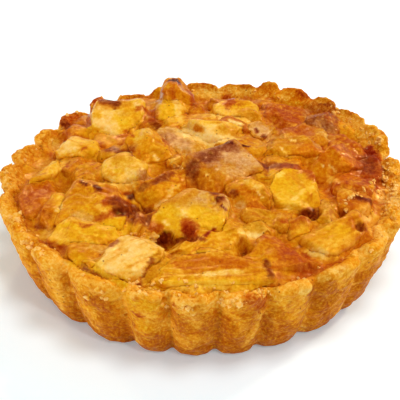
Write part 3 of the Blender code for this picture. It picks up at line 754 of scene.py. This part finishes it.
def seen_at(surface, x, y):
    """The point of the surface that the camera sees at a pixel of the photograph, and the normal there."""
    return surface.ray_cast(bpy.context.scene.camera.location, pixel_ray(x, y))[:2]


def placed(rows, surface):
    """The rows of a table, each with the two points on the food that the camera sees at its pixels."""
    found = []
    for row in rows:
        start = seen_at(surface, row.x, row.y)[0]
        end = seen_at(surface, row.to_x, row.to_y)[0]
        if start is not None and end is not None:
            found.append((row, np.array(start), np.array(end)))
    return found


def distance_to_line(places, start, end):
    """How far each place is from the nearest point between a line's two ends."""
    along = end - start
    length_squared = max(along @ along, SHORTEST_LINE ** 2)
    share = np.clip((places - start) @ along / length_squared, 0, 1)
    return np.linalg.norm(places - start - share[:, None] * along, axis=1)


def sink_pits(things, surface):
    """Presses the pits into the food."""
    pits = placed(PITS, surface)
    for thing in things:
        places = places_of(thing)
        sunk = np.zeros(len(places))
        for pit, start, end in pits:
            distance = distance_to_line(places, start, end)
            inside = ramp(-distance, -1.6 * pit.width * MM, -0.3 * pit.width * MM)
            sunk = np.maximum(sunk, pit.depth * MM * inside)
        places[:, 2] -= sunk
        move_to(thing, places)


def wavered(places):
    """The places moved a little this way and that, so that what is measured from them gets a ragged edge."""
    return places + MARK_WAVER * (bends(places, MARK_WAVER_SIZE) + 0.6 * bends(places, 0.4 * MARK_WAVER_SIZE))


def with_marks(places, colours, marks):
    """The colours with each mark laid over them, its edge ragged and its middle uneven."""
    low = places.min(0)
    high = places.max(0)
    ragged = wavered(places)
    colours = colours.copy()
    for mark, start, end in marks:
        width = mark.width * MM
        reach = 1.5 * width + 2 * MARK_WAVER
        if (np.minimum(start, end) - reach > high).any() or (np.maximum(start, end) + reach < low).any():
            continue
        distance = distance_to_line(ragged, start, end)
        near = distance < 1.5 * width
        unevenness = 0.95 + 0.5 * wave(places[near], 0.8 * MM, mark.x)
        inside = ramp(-distance[near], -1.4 * width, -0.5 * width)
        colours[near] = mix(colours[near], mark.colour, mark.strength * unevenness * inside)
    return colours


# Materials.


def set_inputs(node, inputs):
    """Gives each of these sockets of a node its constant value or its link."""
    for socket, value in inputs.items():
        if isinstance(value, bpy.types.NodeSocket):
            node.id_data.links.new(value, node.inputs[socket])
        else:
            node.inputs[socket].default_value = value


def add_node(tree, kind, inputs, **settings):
    """Adds a shader node of this kind, with its inputs by name or number and its settings."""
    node = tree.nodes.new(kind)
    for setting, value in settings.items():
        setattr(node, setting, value)
    set_inputs(node, inputs)
    return node


def remapped(tree, source, ends, new_ends):
    """The source's values between two ends, stretched to run between two new ends and held beyond them."""
    names = ("Value", "From Min", "From Max", "To Min", "To Max")
    scaled = add_node(tree, "ShaderNodeMapRange", dict(zip(names, (source, *ends, *new_ends))))
    return scaled.outputs["Result"]


def with_specks(tree, place, shade, share_of_cells):
    """The shade with dark specks of spice in this share of the cells of a random pattern."""
    cells = add_node(tree, "ShaderNodeTexVoronoi", {"Scale": 1 / SPECK_SPACING, "Vector": place})
    chance = add_node(tree, "ShaderNodeSeparateColor", {"Color": cells.outputs["Color"]})
    chosen_by = {0: chance.outputs["Red"], 1: share_of_cells}
    chosen = add_node(tree, "ShaderNodeMath", chosen_by, operation="LESS_THAN")
    middle = remapped(tree, cells.outputs["Distance"], (0.1, 0.22), (0.9, 0))
    dark = add_node(tree, "ShaderNodeMath", {0: middle, 1: chosen.outputs["Value"]}, operation="MULTIPLY")
    blended = {"Factor": dark.outputs["Value"], 6: shade, 7: (*SPECK_COLOUR, 1)}
    return add_node(tree, "ShaderNodeMix", blended, data_type="RGBA").outputs[2]


def new_material(name, values):
    """A material with these constant values on its shader's own sockets."""
    material = bpy.data.materials.new(name)
    material.use_nodes = True
    set_inputs(material.node_tree.nodes["Principled BSDF"], values)
    return material


def food_material(name, roughness, grain_size, grain_depth, grain_contrast, values):
    """A material with the mesh's tint, fine grain in its colour and relief, and patches of gloss. The grain
    makes the colour deeper and paler as more and less syrup would."""
    material = new_material(name, {"Specular Tint": (1.0, 0.55, 0.06, 1), **values})
    tree = material.node_tree
    tint = add_node(tree, "ShaderNodeVertexColor", {}, layer_name="tint")
    place = add_node(tree, "ShaderNodeTexCoord", {}).outputs["Object"]
    grain_inputs = {"Scale": 1 / grain_size, "Detail": 5, "Roughness": 0.65, "Vector": place}
    grain = add_node(tree, "ShaderNodeTexNoise", grain_inputs).outputs["Fac"]
    thickness = remapped(tree, grain, (0.3, 0.7), (1 + grain_contrast, 1 - grain_contrast))
    shade = add_node(tree, "ShaderNodeGamma", {"Color": tint.outputs["Color"], "Gamma": thickness})
    patch_inputs = {"Scale": 1 / WET_PATCH, "Detail": 3, "Vector": place}
    wetness = add_node(tree, "ShaderNodeTexNoise", patch_inputs).outputs["Fac"]
    bump = add_node(tree, "ShaderNodeBump", {"Strength": 1.0, "Distance": grain_depth, "Height": grain})
    set_inputs(tree.nodes["Principled BSDF"], {
        "Base Color": with_specks(tree, place, shade.outputs["Color"], tint.outputs["Alpha"]),
        "Roughness": remapped(tree, wetness, (0.4, 0.6), roughness),
        "Normal": bump.outputs["Normal"],
    })
    return material


def crust_material():
    return food_material(
        "baked_crust",
        roughness=(0.45, 0.8),
        grain_size=0.7 * MM,
        grain_depth=0.22 * MM,
        grain_contrast=0.46,
        values={"Specular IOR Level": 0.1},
    )


def apple_material():
    return food_material(
        "baked_apple",
        roughness=(0.02, 0.26),
        grain_size=0.8 * MM,
        grain_depth=0.1 * MM,
        grain_contrast=0.34,
        values={
            "Specular IOR Level": 0.4,
            "Subsurface Weight": 0.15,
            "Subsurface Radius": (1.0, 0.45, 0.12),
            "Subsurface Scale": 1.6 * MM,
        },
    )


def filling_material():
    return food_material(
        "apple_filling",
        roughness=(0.02, 0.24),
        grain_size=0.8 * MM,
        grain_depth=0.12 * MM,
        grain_contrast=0.34,
        values={"Specular IOR Level": 0.34},
    )


def table_material():
    return new_material("white_table", {
        "Base Color": (0.84, 0.93, 1.0, 1),
        "Emission Color": (0.58, 0.84, 1.0, 1),
        "Emission Strength": 0.22,
        "Roughness": 0.9,
        "Specular IOR Level": 0.1,
    })


def finish_piece(thing, material, slot, *nodes):
    thing.data.materials.append(material)
    if nodes:
        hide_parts(*nodes)
    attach(thing, "root")


# The crust.


def round_the_tart(places):
    """The places unrolled into distance round the tart, radius and height, the first of them shortened."""
    distance = np.radians(bearings_of(places)) * UNROLLED_RADIUS
    return np.column_stack((distance / DRAWN_OUT, radius_of(places), places[:, 2]))


def with_softer_creases(places):
    """The creases between the flutes in part filled with dough, at the back and the right back of the rim."""
    height = places[:, 2]
    radius = radius_of(places)
    back = ramp(-bearing_gap(bearings_of(places), 20), -62, -44)
    lobe = BASE_RADIUS + (RIM_RADIUS - BASE_RADIUS) * height / RIM_HEIGHT
    rim = ramp(height, 10 * MM, 17 * MM) * ramp(radius, 46 * MM, 48 * MM)
    gap = np.maximum(lobe - radius, 0) * back * rim
    scale = 1 + CREASE_FILL * gap / np.maximum(radius, MM)
    return np.column_stack((places[:, 0] * scale, places[:, 1] * scale, height + 0.3 * gap))


# The crumbled stretches of the rim, on the right, in front and on the left: the bearing of the middle, how
# many degrees from it the crumbling ends and begins to fade, and how crumbly the middle is, 0 to 1.
CRUMBLED = ((88, 38, 18, 1.0), (188, 20, 6, 0.8), (275, 60, 25, 0.6))


def crumbliness(places):
    """How crumbly the rim is at each place, 0 to 1."""
    bearings = bearings_of(places)
    shares = [most * ramp(-bearing_gap(bearings, middle), -end, -fade)
              for middle, end, fade, most in CRUMBLED]
    return np.max(shares, axis=0)


def crust_relief(places):
    """How far the baked surface stands out from the smooth case."""
    height = places[:, 2]
    radius = radius_of(places)
    top = ramp(height, RIM_START, RIM_FULL) * ramp(radius, 43 * MM, 46 * MM)
    outside = ramp(radius, 41 * MM, 43 * MM) * ramp(height, 0.3 * MM, 2 * MM)
    crumbly = crumbliness(places)
    relief = 0.4 * MM * wave(places, 6 * MM, 1) * outside
    relief += 0.3 * MM * wave(places, 2.4 * MM, 2) * outside
    relief += 0.25 * MM * wave(round_the_tart(places), STREAK_SIZE, 8) * outside
    relief += 1.2 * MM * top * crumbly * (crumb_bumps(places, 2.3 * MM, 3) - 0.35)
    relief += 0.6 * MM * top * (0.5 + 0.5 * crumbly) * (crumb_bumps(places, 1.2 * MM, 4) - 0.35)
    pores = ramp(wave(places, 1.3 * MM, 5), 0.4, 0.65)
    return relief - 0.25 * MM * pores * outside


def crust_colours(places, normals, hollow):
    """Golden, in brown and pale patches and streaks, with a paler rim that is more baked at the back."""
    height = places[:, 2]
    outward = (places[:, :2] * normals[:, :2]).sum(1) / np.maximum(radius_of(places), MM)
    patches = wave(places, 8 * MM, 6, 2)
    streaks = wave(round_the_tart(places), STREAK_SIZE, 22, 2)
    bands = wave(round_the_tart(places), 2 * STREAK_SIZE, 7)
    rim = ramp(height + 1.2 * MM * wave(places, 3 * MM, 23), RIM_START, RIM_FULL)
    back = rim * ramp(-bearing_gap(bearings_of(places), 10), -85, -45)
    return layered(
        CRUST_GOLD,
        (CRUST_BROWN, 0.8 * ramp(patches, -0.3, 0.7)),
        (CRUST_PALE, 0.6 * ramp(-patches, 0.0, 0.8)),
        (CRUST_BROWN, 0.4 * ramp(streaks, 0.0, 0.6)),
        (CRUST_PALE, 0.4 * ramp(-streaks, 0.0, 0.6)),
        (CRUST_PALE, rim * (0.25 + 0.6 * ramp(bands, -0.2, 0.3))),
        (CRUMB_PALE, rim * crumbliness(places) * 0.5 * ramp(bands, -0.1, 0.3)),
        (AMBER, 0.5 * back),
        (RUST, 0.6 * back * ramp(wave(places, 4 * MM, 25, 2), 0.1, 0.5)),
        (CRUST_BURNT, 0.3 * ramp(wave(places, 3 * MM, 24, 2), 0.35, 0.8)),
        # Darker towards the bottom.
        (CRUST_BROWN, 0.95 * ramp(-height, -12 * MM, -3 * MM)),
        # Painted shade in the hollows, painted light on the bumps, and painted shade on the faces turned
        # inward.
        (CRUST_BROWN, 0.55 * ramp(hollow, 0.02 * MM, 0.12 * MM)),
        (CRUST_PALE, 0.5 * ramp(-hollow, 0.02 * MM, 0.12 * MM)),
        (CRUST_BROWN, 0.4 * ramp(-outward, 0.1, 0.6)),
    )


def hidden_in_crust(places, normals):
    """Which places of the case nothing shows: those under it, and those below the top of the filling."""
    height = places[:, 2]
    under_filling = (radius_of(places) < 44.5 * MM) & (height < 15 * MM) & (normals[:, 2] > -0.5)
    return (height < 0.4 * MM) | under_filling


def make_crust():
    crust = remeshed("tart_crust", merged_copy("crust"), CRUST_CELL, 2)
    places = with_softer_creases(places_of(crust))
    move_to(crust, places)
    hidden = hidden_in_crust(places, normals_of(crust))
    push_out(crust, crust_relief(places))
    thin_out(crust, hidden, CRUST_KEPT)
    crust.data.shade_smooth()
    return crust


# The filling.


# The case's inner face leans inward by more than this.
INNER_LEAN = 0.35


def drawn_in_crust():
    """The crust's shape with all but its inner face drawn in, so that it ends inside the real crust."""
    shape = merged_copy("crust")
    shape.normal_update()
    moves = []
    for corner in shape.verts:
        outward = Vector((corner.co.x, corner.co.y, 0)).normalized().dot(corner.normal)
        if outward > -INNER_LEAN:
            moves.append((corner, corner.normal * -WALL_OVERLAP))
    for corner, move in moves:
        corner.co += move
    return shape


def add_shape(shape, other):
    mesh = mesh_from("part", other)
    shape.from_mesh(mesh)
    bpy.data.meshes.remove(mesh)


def filling_relief(places):
    """How far the syrup stands out: lumpy on top, and lower between the pieces, which have swollen."""
    top = ramp(places[:, 2], 14 * MM, 17 * MM)
    inner = ramp(-radius_of(places), -45 * MM, -43 * MM)
    lumps = 0.45 * wave(places, 3 * MM, 11) + 0.5 * crumb_bumps(places, 2 * MM, 12)
    lumps += 0.3 * wave(places, 1.2 * MM, 9)
    return MM * (top * (0.6 * lumps - 0.2) - 0.1 - PIECE_SWELL / MM * 0.4 * top * inner)


def make_filling(pieces):
    """The pulp and syrup round the pieces: it closes what is narrow and lays a fillet in what is wide."""
    shape = merged_copy("filling")
    add_shape(shape, drawn_in_crust())
    for piece in pieces:
        shape.from_mesh(piece.data)
    filling = remeshed("tart_filling", shape, FILLING_CELL, 1)
    push_out(filling, SYRUP_FILLET)
    even_out(filling, FILLING_CELL, 1)
    push_out(filling, -SYRUP_FILLET)
    even_out(filling, FILLING_CELL, 2)
    push_out(filling, filling_relief(places_of(filling)))
    warp(filling)
    places = places_of(filling)
    places[:, :2] *= 1 - FILLING_DRAWN_IN * ramp(-places[:, 2], -14 * MM, -12 * MM)[:, None]
    move_to(filling, places)
    thin_out(filling, places[:, 2] < 12 * MM, FILLING_KEPT)
    filling.data.shade_smooth()
    return filling


def neighbours_colours(places, pieces, colours):
    """The colour of the nearest point of the apple pieces, for each place."""
    apple_places = np.concatenate([places_of(piece) for piece in pieces])
    tree = KDTree(len(apple_places))
    for index, place in enumerate(apple_places):
        tree.insert(place, index)
    tree.balance()
    nearest = [tree.find(place)[1] for place in places]
    return np.concatenate(colours)[nearest]


def filling_colours(places, from_pieces):
    """Golden to red-brown, and near to the colours of the pieces that the syrup covers."""
    return layered(
        GOLD,
        (AMBER, ramp(wave(places, 2.5 * MM, 13, 2), -0.3, 0.4)),
        (ORANGE, 0.8 * ramp(wave(places, 5 * MM, 14, 2), 0.0, 0.5)),
        (PALE, 0.6 * ramp(crumb_bumps(places, 2 * MM, 12), 0.5, 0.8)),
        (RUST, 0.6 * ramp(wave(places, 3.5 * MM, 16, 2), 0.1, 0.6)),
        (from_pieces, 0.5 + 0.4 * ramp(wave(places, 3 * MM, 15), -0.3, 0.3)),
    )


# The apple pieces.


def long_axis(places):
    """The direction in which the points spread most."""
    spread = np.cov((places - places.mean(0)).T)
    return np.linalg.eigh(spread)[1][:, -1]


def along_fibres(places, axis, squeeze):
    """The places with the fibres' direction shortened, so that noise on them is stretched along it."""
    reach = places @ axis
    return places - np.outer(reach * (1 - 1 / squeeze), axis)


def warp(thing):
    """Bends the pieces and the syrup alike, so that no edge stays straight. At the wall nothing moves."""
    places = places_of(thing)
    free = ramp(-radius_of(places), -46 * MM, -41 * MM) * ramp(places[:, 2], 10 * MM, 14 * MM)
    shift = bends(places, WARP_SIZE) + 0.4 * bends(places, 0.35 * WARP_SIZE)
    move_to(thing, places + free[:, None] * WARP * shift * (1, 1, 0.5))


def cut_flat(places, bearing, tilt, depth):
    """Cuts this depth off the side that faces this bearing, tilted up by this many degrees."""
    outward = np.array(heading(math.radians(bearing), math.radians(tilt)))
    reach = places @ outward
    beyond = np.maximum(reach - (reach.max() - depth), 0)
    return places - beyond[:, None] * outward


def cut_piece(piece, number):
    """Gives a piece the flat faces of chopped apple: some by chance and those that the photograph shows."""
    draw = random.Random(number)
    places = places_of(piece)
    size = min(places.max(0) - places.min(0))
    for _ in range(0 if number in KEPT_WHOLE else CHANCE_CUTS):
        places = cut_flat(places, draw.uniform(0, 360), draw.uniform(15, 80), draw.uniform(0.05, 0.16) * size)
    for cut in CUTS:
        if cut.piece == number:
            places = cut_flat(places, cut.bearing, cut.tilt, cut.depth * MM)
    move_to(piece, places)


def apple_relief(places, look, axis, layer):
    """How far the cooked surface stands out, with ridges along the fibres."""
    relief = 0.2 * MM * wave(places, 4.5 * MM, layer)
    relief += 0.14 * MM * wave(places, 2.0 * MM, layer + 0.3)
    fibres = along_fibres(places, axis, 6)
    relief += (0.05 + 0.35 * look.fibre) * MM * wave(fibres, 1.1 * MM, layer + 0.5)
    return relief + 0.1 * MM * wave(places, 0.9 * MM, layer + 0.7)


def apple_colours(places, normals, hollow, look, axis, layer):
    """The look's two colours, and over them pale and cooked patches, fibres, browned veins and painted edge
    highlights.
    """
    patches = wave(places, 3.5 * MM, layer + 0.2, 3)
    lit_from_above = ramp(normals[:, 2], 0.2, 0.85)
    cooked = wave(places, 2.4 * MM, layer + 0.25, 3)
    fibres = wave(along_fibres(places, axis, 7), 0.9 * MM, layer + 0.4)
    mottle = wave(places, 1.2 * MM, layer + 0.9, 2)
    depth = ramp(places[:, 2].max() - places[:, 2], 2 * MM, 7 * MM)
    browned = ramp(wave(places, 2.5 * MM, layer + 0.6, 3) + 0.9 * look.brown, 0.45, 1.0)
    veins = ramp(-np.abs(wave(places, 2.8 * MM, layer + 0.7, 2)), -0.07, -0.01) * ramp(patches, -0.1, 0.3)
    edge = ramp(-hollow, 0.015 * MM, 0.06 * MM) * ramp(patches, -0.3, 0.3)
    return layered(
        look.side,
        # Partly painted light: the faces turned up take more of the top colour.
        (look.top, lit_from_above + 0.7 * patches),
        (AMBER, min(0.25 + 1.5 * look.brown, 0.8) * ramp(cooked, 0.05, 0.45)),
        (PALE, 0.5 * ramp(-cooked, 0.1, 0.5)),
        (PALE, (0.15 + 0.4 * look.fibre) * ramp(fibres, 0.05, 0.4)),
        (ORANGE, (0.15 + 0.35 * look.fibre) * ramp(-fibres, 0.1, 0.45)),
        (look.side, 0.6 * ramp(mottle, 0.05, 0.4)),
        # Deeper orange lower down the piece.
        (ORANGE, depth * (0.2 + 0.5 * look.brown)),
        (RUST, browned * look.brown),
        (RUST, min(0.15 + 1.2 * look.brown, 0.7) * veins),
        # Painted highlights on the edges that stand out, fewer the browner the piece; browned pieces brown
        # there instead.
        (CREAM, 0.6 * (0.6 - look.brown) * edge),
        (RUST, 0.5 * look.brown * edge),
    )


def apple_look(number):
    if number <= len(APPLE_LOOKS):
        return APPLE_LOOKS[number - 1]
    return FAR_LOOKS[number % len(FAR_LOOKS)]


def apple_nodes():
    return sorted(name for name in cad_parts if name.startswith("apple_piece_"))


def make_apple_piece(number, node):
    piece = remeshed(node.replace("apple_piece", "baked_apple"), merged_copy(node), APPLE_CELL, 1)
    push_out(piece, PIECE_SWELL)
    cut_piece(piece, number)
    return piece


def roughen_apple_piece(number, piece):
    places = places_of(piece)
    push_out(piece, apple_relief(places, apple_look(number), long_axis(places), number))
    warp(piece)


def apple_piece_colours(number, piece, marks):
    look = apple_look(number)
    places = places_of(piece)
    colours = apple_colours(places, normals_of(piece), hollowness(piece), look, long_axis(places), number)
    return with_marks(places, colours, marks)


# How closely food stands round a place is felt out as far as this, in rings of directions: how steep each
# ring is, in radians, and how many directions it has.
SKY_REACH = 3.5 * MM
SKY_RINGS = ((0.15, 8), (0.8, 5), (1.5, 1))

# It is felt from just above the surface, and not in directions that graze it.
SKY_START = 0.15 * MM
SKY_GRAZE = 0.15
SKY_DIRECTIONS = [
    Vector(heading(step / steps * 2 * math.pi + rise, rise))
    for rise, steps in SKY_RINGS
    for step in range(steps)
]


def closeness(places, normals, surface):
    """The share of the sky over each place that the food round it hides, from 0 to 1."""
    hidden = np.zeros(len(places))
    seen = np.zeros(len(places))
    for direction in SKY_DIRECTIONS:
        facing = normals @ np.array(direction) > SKY_GRAZE
        starts = places[facing] + normals[facing] * SKY_START
        hits = [surface.ray_cast(start, direction, SKY_REACH)[0] is not None for start in starts.tolist()]
        hidden[facing] += hits
        seen[facing] += 1
    return hidden / np.maximum(seen, 1)


def shaded_in_narrow_places(colours, sky_hidden):
    """The colours with painted shade, orange and then caramel, in narrow places where the food hides the sky.
    """
    colours = mix(colours, ORANGE, 0.7 * ramp(sky_hidden, 0.28, 0.6))
    return mix(colours, CARAMEL, 0.85 * ramp(sky_hidden, 0.5, 0.85))


# Crumbs on the rim.


# Stretches of the rim with loose crumbs: the bearing of the middle, how many degrees the crumbs spread to
# each side of it, and how many fall there.
RIM_CRUMBS = ((185, 16, 60), (97, 14, 110), (0, 180, 90))

# They land between two radii, in millimetres, falling from one height, and none below the other.
CRUMB_RING = (46.5, 51.5)
CRUMB_FALL = 40 * MM
LOWEST_CRUMB = 15 * MM

# The radius of the smallest crumb, in millimetres, how much larger one on the rim or in a patch may be, and
# how rough all are, as a share of the radius.
SMALLEST_CRUMB = 0.15
RIM_CRUMB_GROWTH = 0.5
PATCH_CRUMB_GROWTH = 0.75
CRUMB_ROUGHNESS = 0.45

# Patches of loose crumbs: from one pixel of the photograph to another, how wide in millimetres, and how many.
CrumbPatch = namedtuple("CrumbPatch", "x y to_x to_y width count")
CRUMB_PATCHES = [CrumbPatch(*row) for row in (
    (83, 291, 90, 295, 0.9, 9),
    (150, 288, 156, 290, 0.7, 6),
    (163, 304, 174, 309, 1.0, 9),
    (181, 306, 186, 315, 1.0, 7),
    (188, 303, 195, 320, 1.0, 12),
    (218, 300, 229, 305, 1.1, 20),
    (232, 298, 246, 309, 1.3, 26),
    (255, 291, 275, 292, 1.0, 16),
    (98, 290, 104, 300, 0.8, 8),
    (376, 196, 398, 190, 1.6, 50),
    (386, 205, 396, 220, 1.3, 40),
    (345, 205, 358, 190, 1.4, 40),
    (366, 190, 384, 180, 1.4, 36),
    (4, 172, 12, 182, 1.2, 20),
    (6, 200, 26, 232, 1.6, 30),
    (22, 238, 44, 254, 1.4, 24),
    (340, 115, 354, 124, 1.2, 22),
    (362, 132, 386, 146, 1.6, 40),
    (136, 232, 158, 238, 1.3, 30),
    (166, 158, 180, 170, 1.2, 24),
)]


def crumb_mesh(shape, draw, place, size):
    """Adds one rough crumb to the shape."""
    made = bmesh.ops.create_icosphere(shape, subdivisions=1, radius=size, matrix=Matrix.Translation(place))
    for vertex in made["verts"]:
        vertex.co += Vector([draw.uniform(-CRUMB_ROUGHNESS, CRUMB_ROUGHNESS) * size for _ in range(3)])


def add_rim_crumbs(shape, draw, surface):
    for middle, spread, count in RIM_CRUMBS:
        for _ in range(count):
            bearing = math.radians(middle + draw.uniform(-spread, spread))
            radius = draw.uniform(*CRUMB_RING) * MM
            start = Vector((radius * math.sin(bearing), radius * math.cos(bearing), CRUMB_FALL))
            hit = surface.ray_cast(start, Vector((0, 0, -1)))[0]
            if hit is not None and hit.z > LOWEST_CRUMB:
                size = SMALLEST_CRUMB + RIM_CRUMB_GROWTH * draw.random() ** 2
                crumb_mesh(shape, draw, hit, size * MM)


def add_patch_crumbs(shape, draw, surface):
    for patch in CRUMB_PATCHES:
        for _ in range(patch.count):
            share = draw.random()
            x = patch.x + share * (patch.to_x - patch.x)
            y = patch.y + share * (patch.to_y - patch.y)
            hit, normal = seen_at(surface, x, y)
            if hit is None:
                continue
            aside = Vector([draw.gauss(0, 0.5) * patch.width * MM for _ in range(3)])
            near = surface.find_nearest(hit + aside - normal * aside.dot(normal))[0]
            size = SMALLEST_CRUMB + PATCH_CRUMB_GROWTH * draw.random() ** 3
            crumb_mesh(shape, draw, near - normal * 0.2 * MM, size * MM)


def make_crumbs(surface, material):
    draw = random.Random(CRUMB_SEED)
    shape = bmesh.new()
    add_rim_crumbs(shape, draw, surface)
    add_patch_crumbs(shape, draw, surface)
    crumbs = add_object("rim_crumbs", mesh_from("rim_crumbs", shape))
    browned = ramp(wave(places_of(crumbs), 2 * MM, 21), 0.0, 0.5)
    paint(crumbs, mix(CRUMB_PALE, CRUST_GOLD, 0.8 * browned), 0)
    finish_piece(crumbs, material, "baked_crust")


# The studio.


# The lights: the name, the place and the width in metres, the power in watts and the colour of each.
LIGHTS = (
    ("top_light", (0.11, -0.12, 0.62), 0.22, 1.52, (1, 1, 1)),
    ("right_light", (0.46, 0.27, 0.36), 0.08, 1.4, (1, 0.89, 0.66)),
    ("left_light", (-0.40, 0.30, 0.34), 0.05, 0.3, (1, 0.72, 0.34)),
    ("front_light", (0.22, -0.42, 0.46), 0.07, 0.65, (1, 1, 1)),
    ("low_left_light", (-0.50, -0.25, 0.05), 0.14, 1.1, (1, 1, 1)),
    ("low_right_light", (0.50, -0.25, 0.05), 0.14, 0.2, (1, 1, 1)),
    ("back_light", (-0.08, 0.50, 0.36), 0.035, 0.45, (1, 0.76, 0.38)),
)
LIGHT_TARGET = Vector((0, 0, 0.01))
FLOOR_SIZE = 3.0


def make_floor():
    bpy.ops.mesh.primitive_plane_add(size=FLOOR_SIZE, location=(0, 0, 0))
    floor = bpy.context.object
    floor.name = "table_top"
    floor.data.materials.append(table_material())


def place_looking(name, data, place, direction):
    """Adds a lamp or a camera at a place, turned to look in a direction."""
    thing = add_object(name, data)
    thing.location = place
    thing.rotation_euler = direction.to_track_quat("-Z", "Y").to_euler()
    return thing


def add_light(name, place, size, power, colour):
    light = bpy.data.lights.new(name, "AREA")
    light.color = colour
    light.shape = "DISK"
    light.size = size
    light.energy = power
    place_looking(name, light, place, LIGHT_TARGET - Vector(place))


def make_studio():
    make_floor()
    world = bpy.data.worlds.new("studio")
    world.use_nodes = True
    set_inputs(world.node_tree.nodes["Background"], {"Color": (1, 0.9, 0.74, 1), "Strength": 0.4})
    bpy.context.scene.world = world
    for light in LIGHTS:
        add_light(*light)


def make_camera():
    camera = bpy.data.cameras.new("camera")
    camera.sensor_width = SENSOR_WIDTH
    camera.lens = LENS
    camera.clip_start = 1 * MM
    forward = Vector(heading(0, -CAMERA_PITCH))
    thing = place_looking("camera", camera, CAMERA_TARGET - forward * CAMERA_DISTANCE, forward)
    bpy.context.scene.camera = thing
    bpy.context.view_layer.update()


def corners(bounds):
    return [list(corner) for corner in bounds]


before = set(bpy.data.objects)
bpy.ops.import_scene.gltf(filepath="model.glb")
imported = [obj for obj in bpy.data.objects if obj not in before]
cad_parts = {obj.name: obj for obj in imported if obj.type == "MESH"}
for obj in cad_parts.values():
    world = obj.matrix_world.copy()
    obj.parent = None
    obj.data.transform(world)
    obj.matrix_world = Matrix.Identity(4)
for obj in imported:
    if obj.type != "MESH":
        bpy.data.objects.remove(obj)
noise.seed_set(NOISE_SEED)
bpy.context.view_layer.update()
bpy.context.scene.view_settings.view_transform = "Standard"
make_camera()
make_studio()
tart_crust = make_crust()
apple_pieces = [make_apple_piece(number, node) for number, node in enumerate(apple_nodes(), start=1)]
numbered_pieces = list(enumerate(apple_pieces, start=1))
tart_filling = make_filling(apple_pieces)
for number, piece in numbered_pieces:
    roughen_apple_piece(number, piece)
sink_pits([tart_filling] + apple_pieces, surface_of([tart_crust, tart_filling] + apple_pieces))
food = surface_of([tart_crust, tart_filling] + apple_pieces)
marks = placed(MARKS, food)
crust_places = places_of(tart_crust)
crust_tint = crust_colours(crust_places, normals_of(tart_crust), hollowness(tart_crust))
paint(tart_crust, with_marks(crust_places, crust_tint, marks), CRUST_SPECKS)
piece_tints = [apple_piece_colours(number, piece, marks) for number, piece in numbered_pieces]
filling_places = places_of(tart_filling)
filling_tint = filling_colours(filling_places, neighbours_colours(filling_places, apple_pieces, piece_tints))
filling_tint = with_marks(filling_places, filling_tint, marks)
filling_tint = shaded_in_narrow_places(filling_tint, closeness(filling_places, normals_of(tart_filling), food))
paint(tart_filling, filling_tint, FILLING_SPECKS)
baked_crust = crust_material()
finish_piece(tart_crust, baked_crust, "baked_crust", "crust")
finish_piece(tart_filling, filling_material(), "apple_filling", "filling")
baked_apple = apple_material()
for (number, piece), node, tint in zip(numbered_pieces, apple_nodes(), piece_tints):
    tint = shaded_in_narrow_places(tint, closeness(places_of(piece), normals_of(piece), food))
    paint(piece, tint, APPLE_SPECKS * apple_look(number).specks)
    finish_piece(piece, baked_apple, "baked_apple", node)
make_crumbs(food, baked_crust)
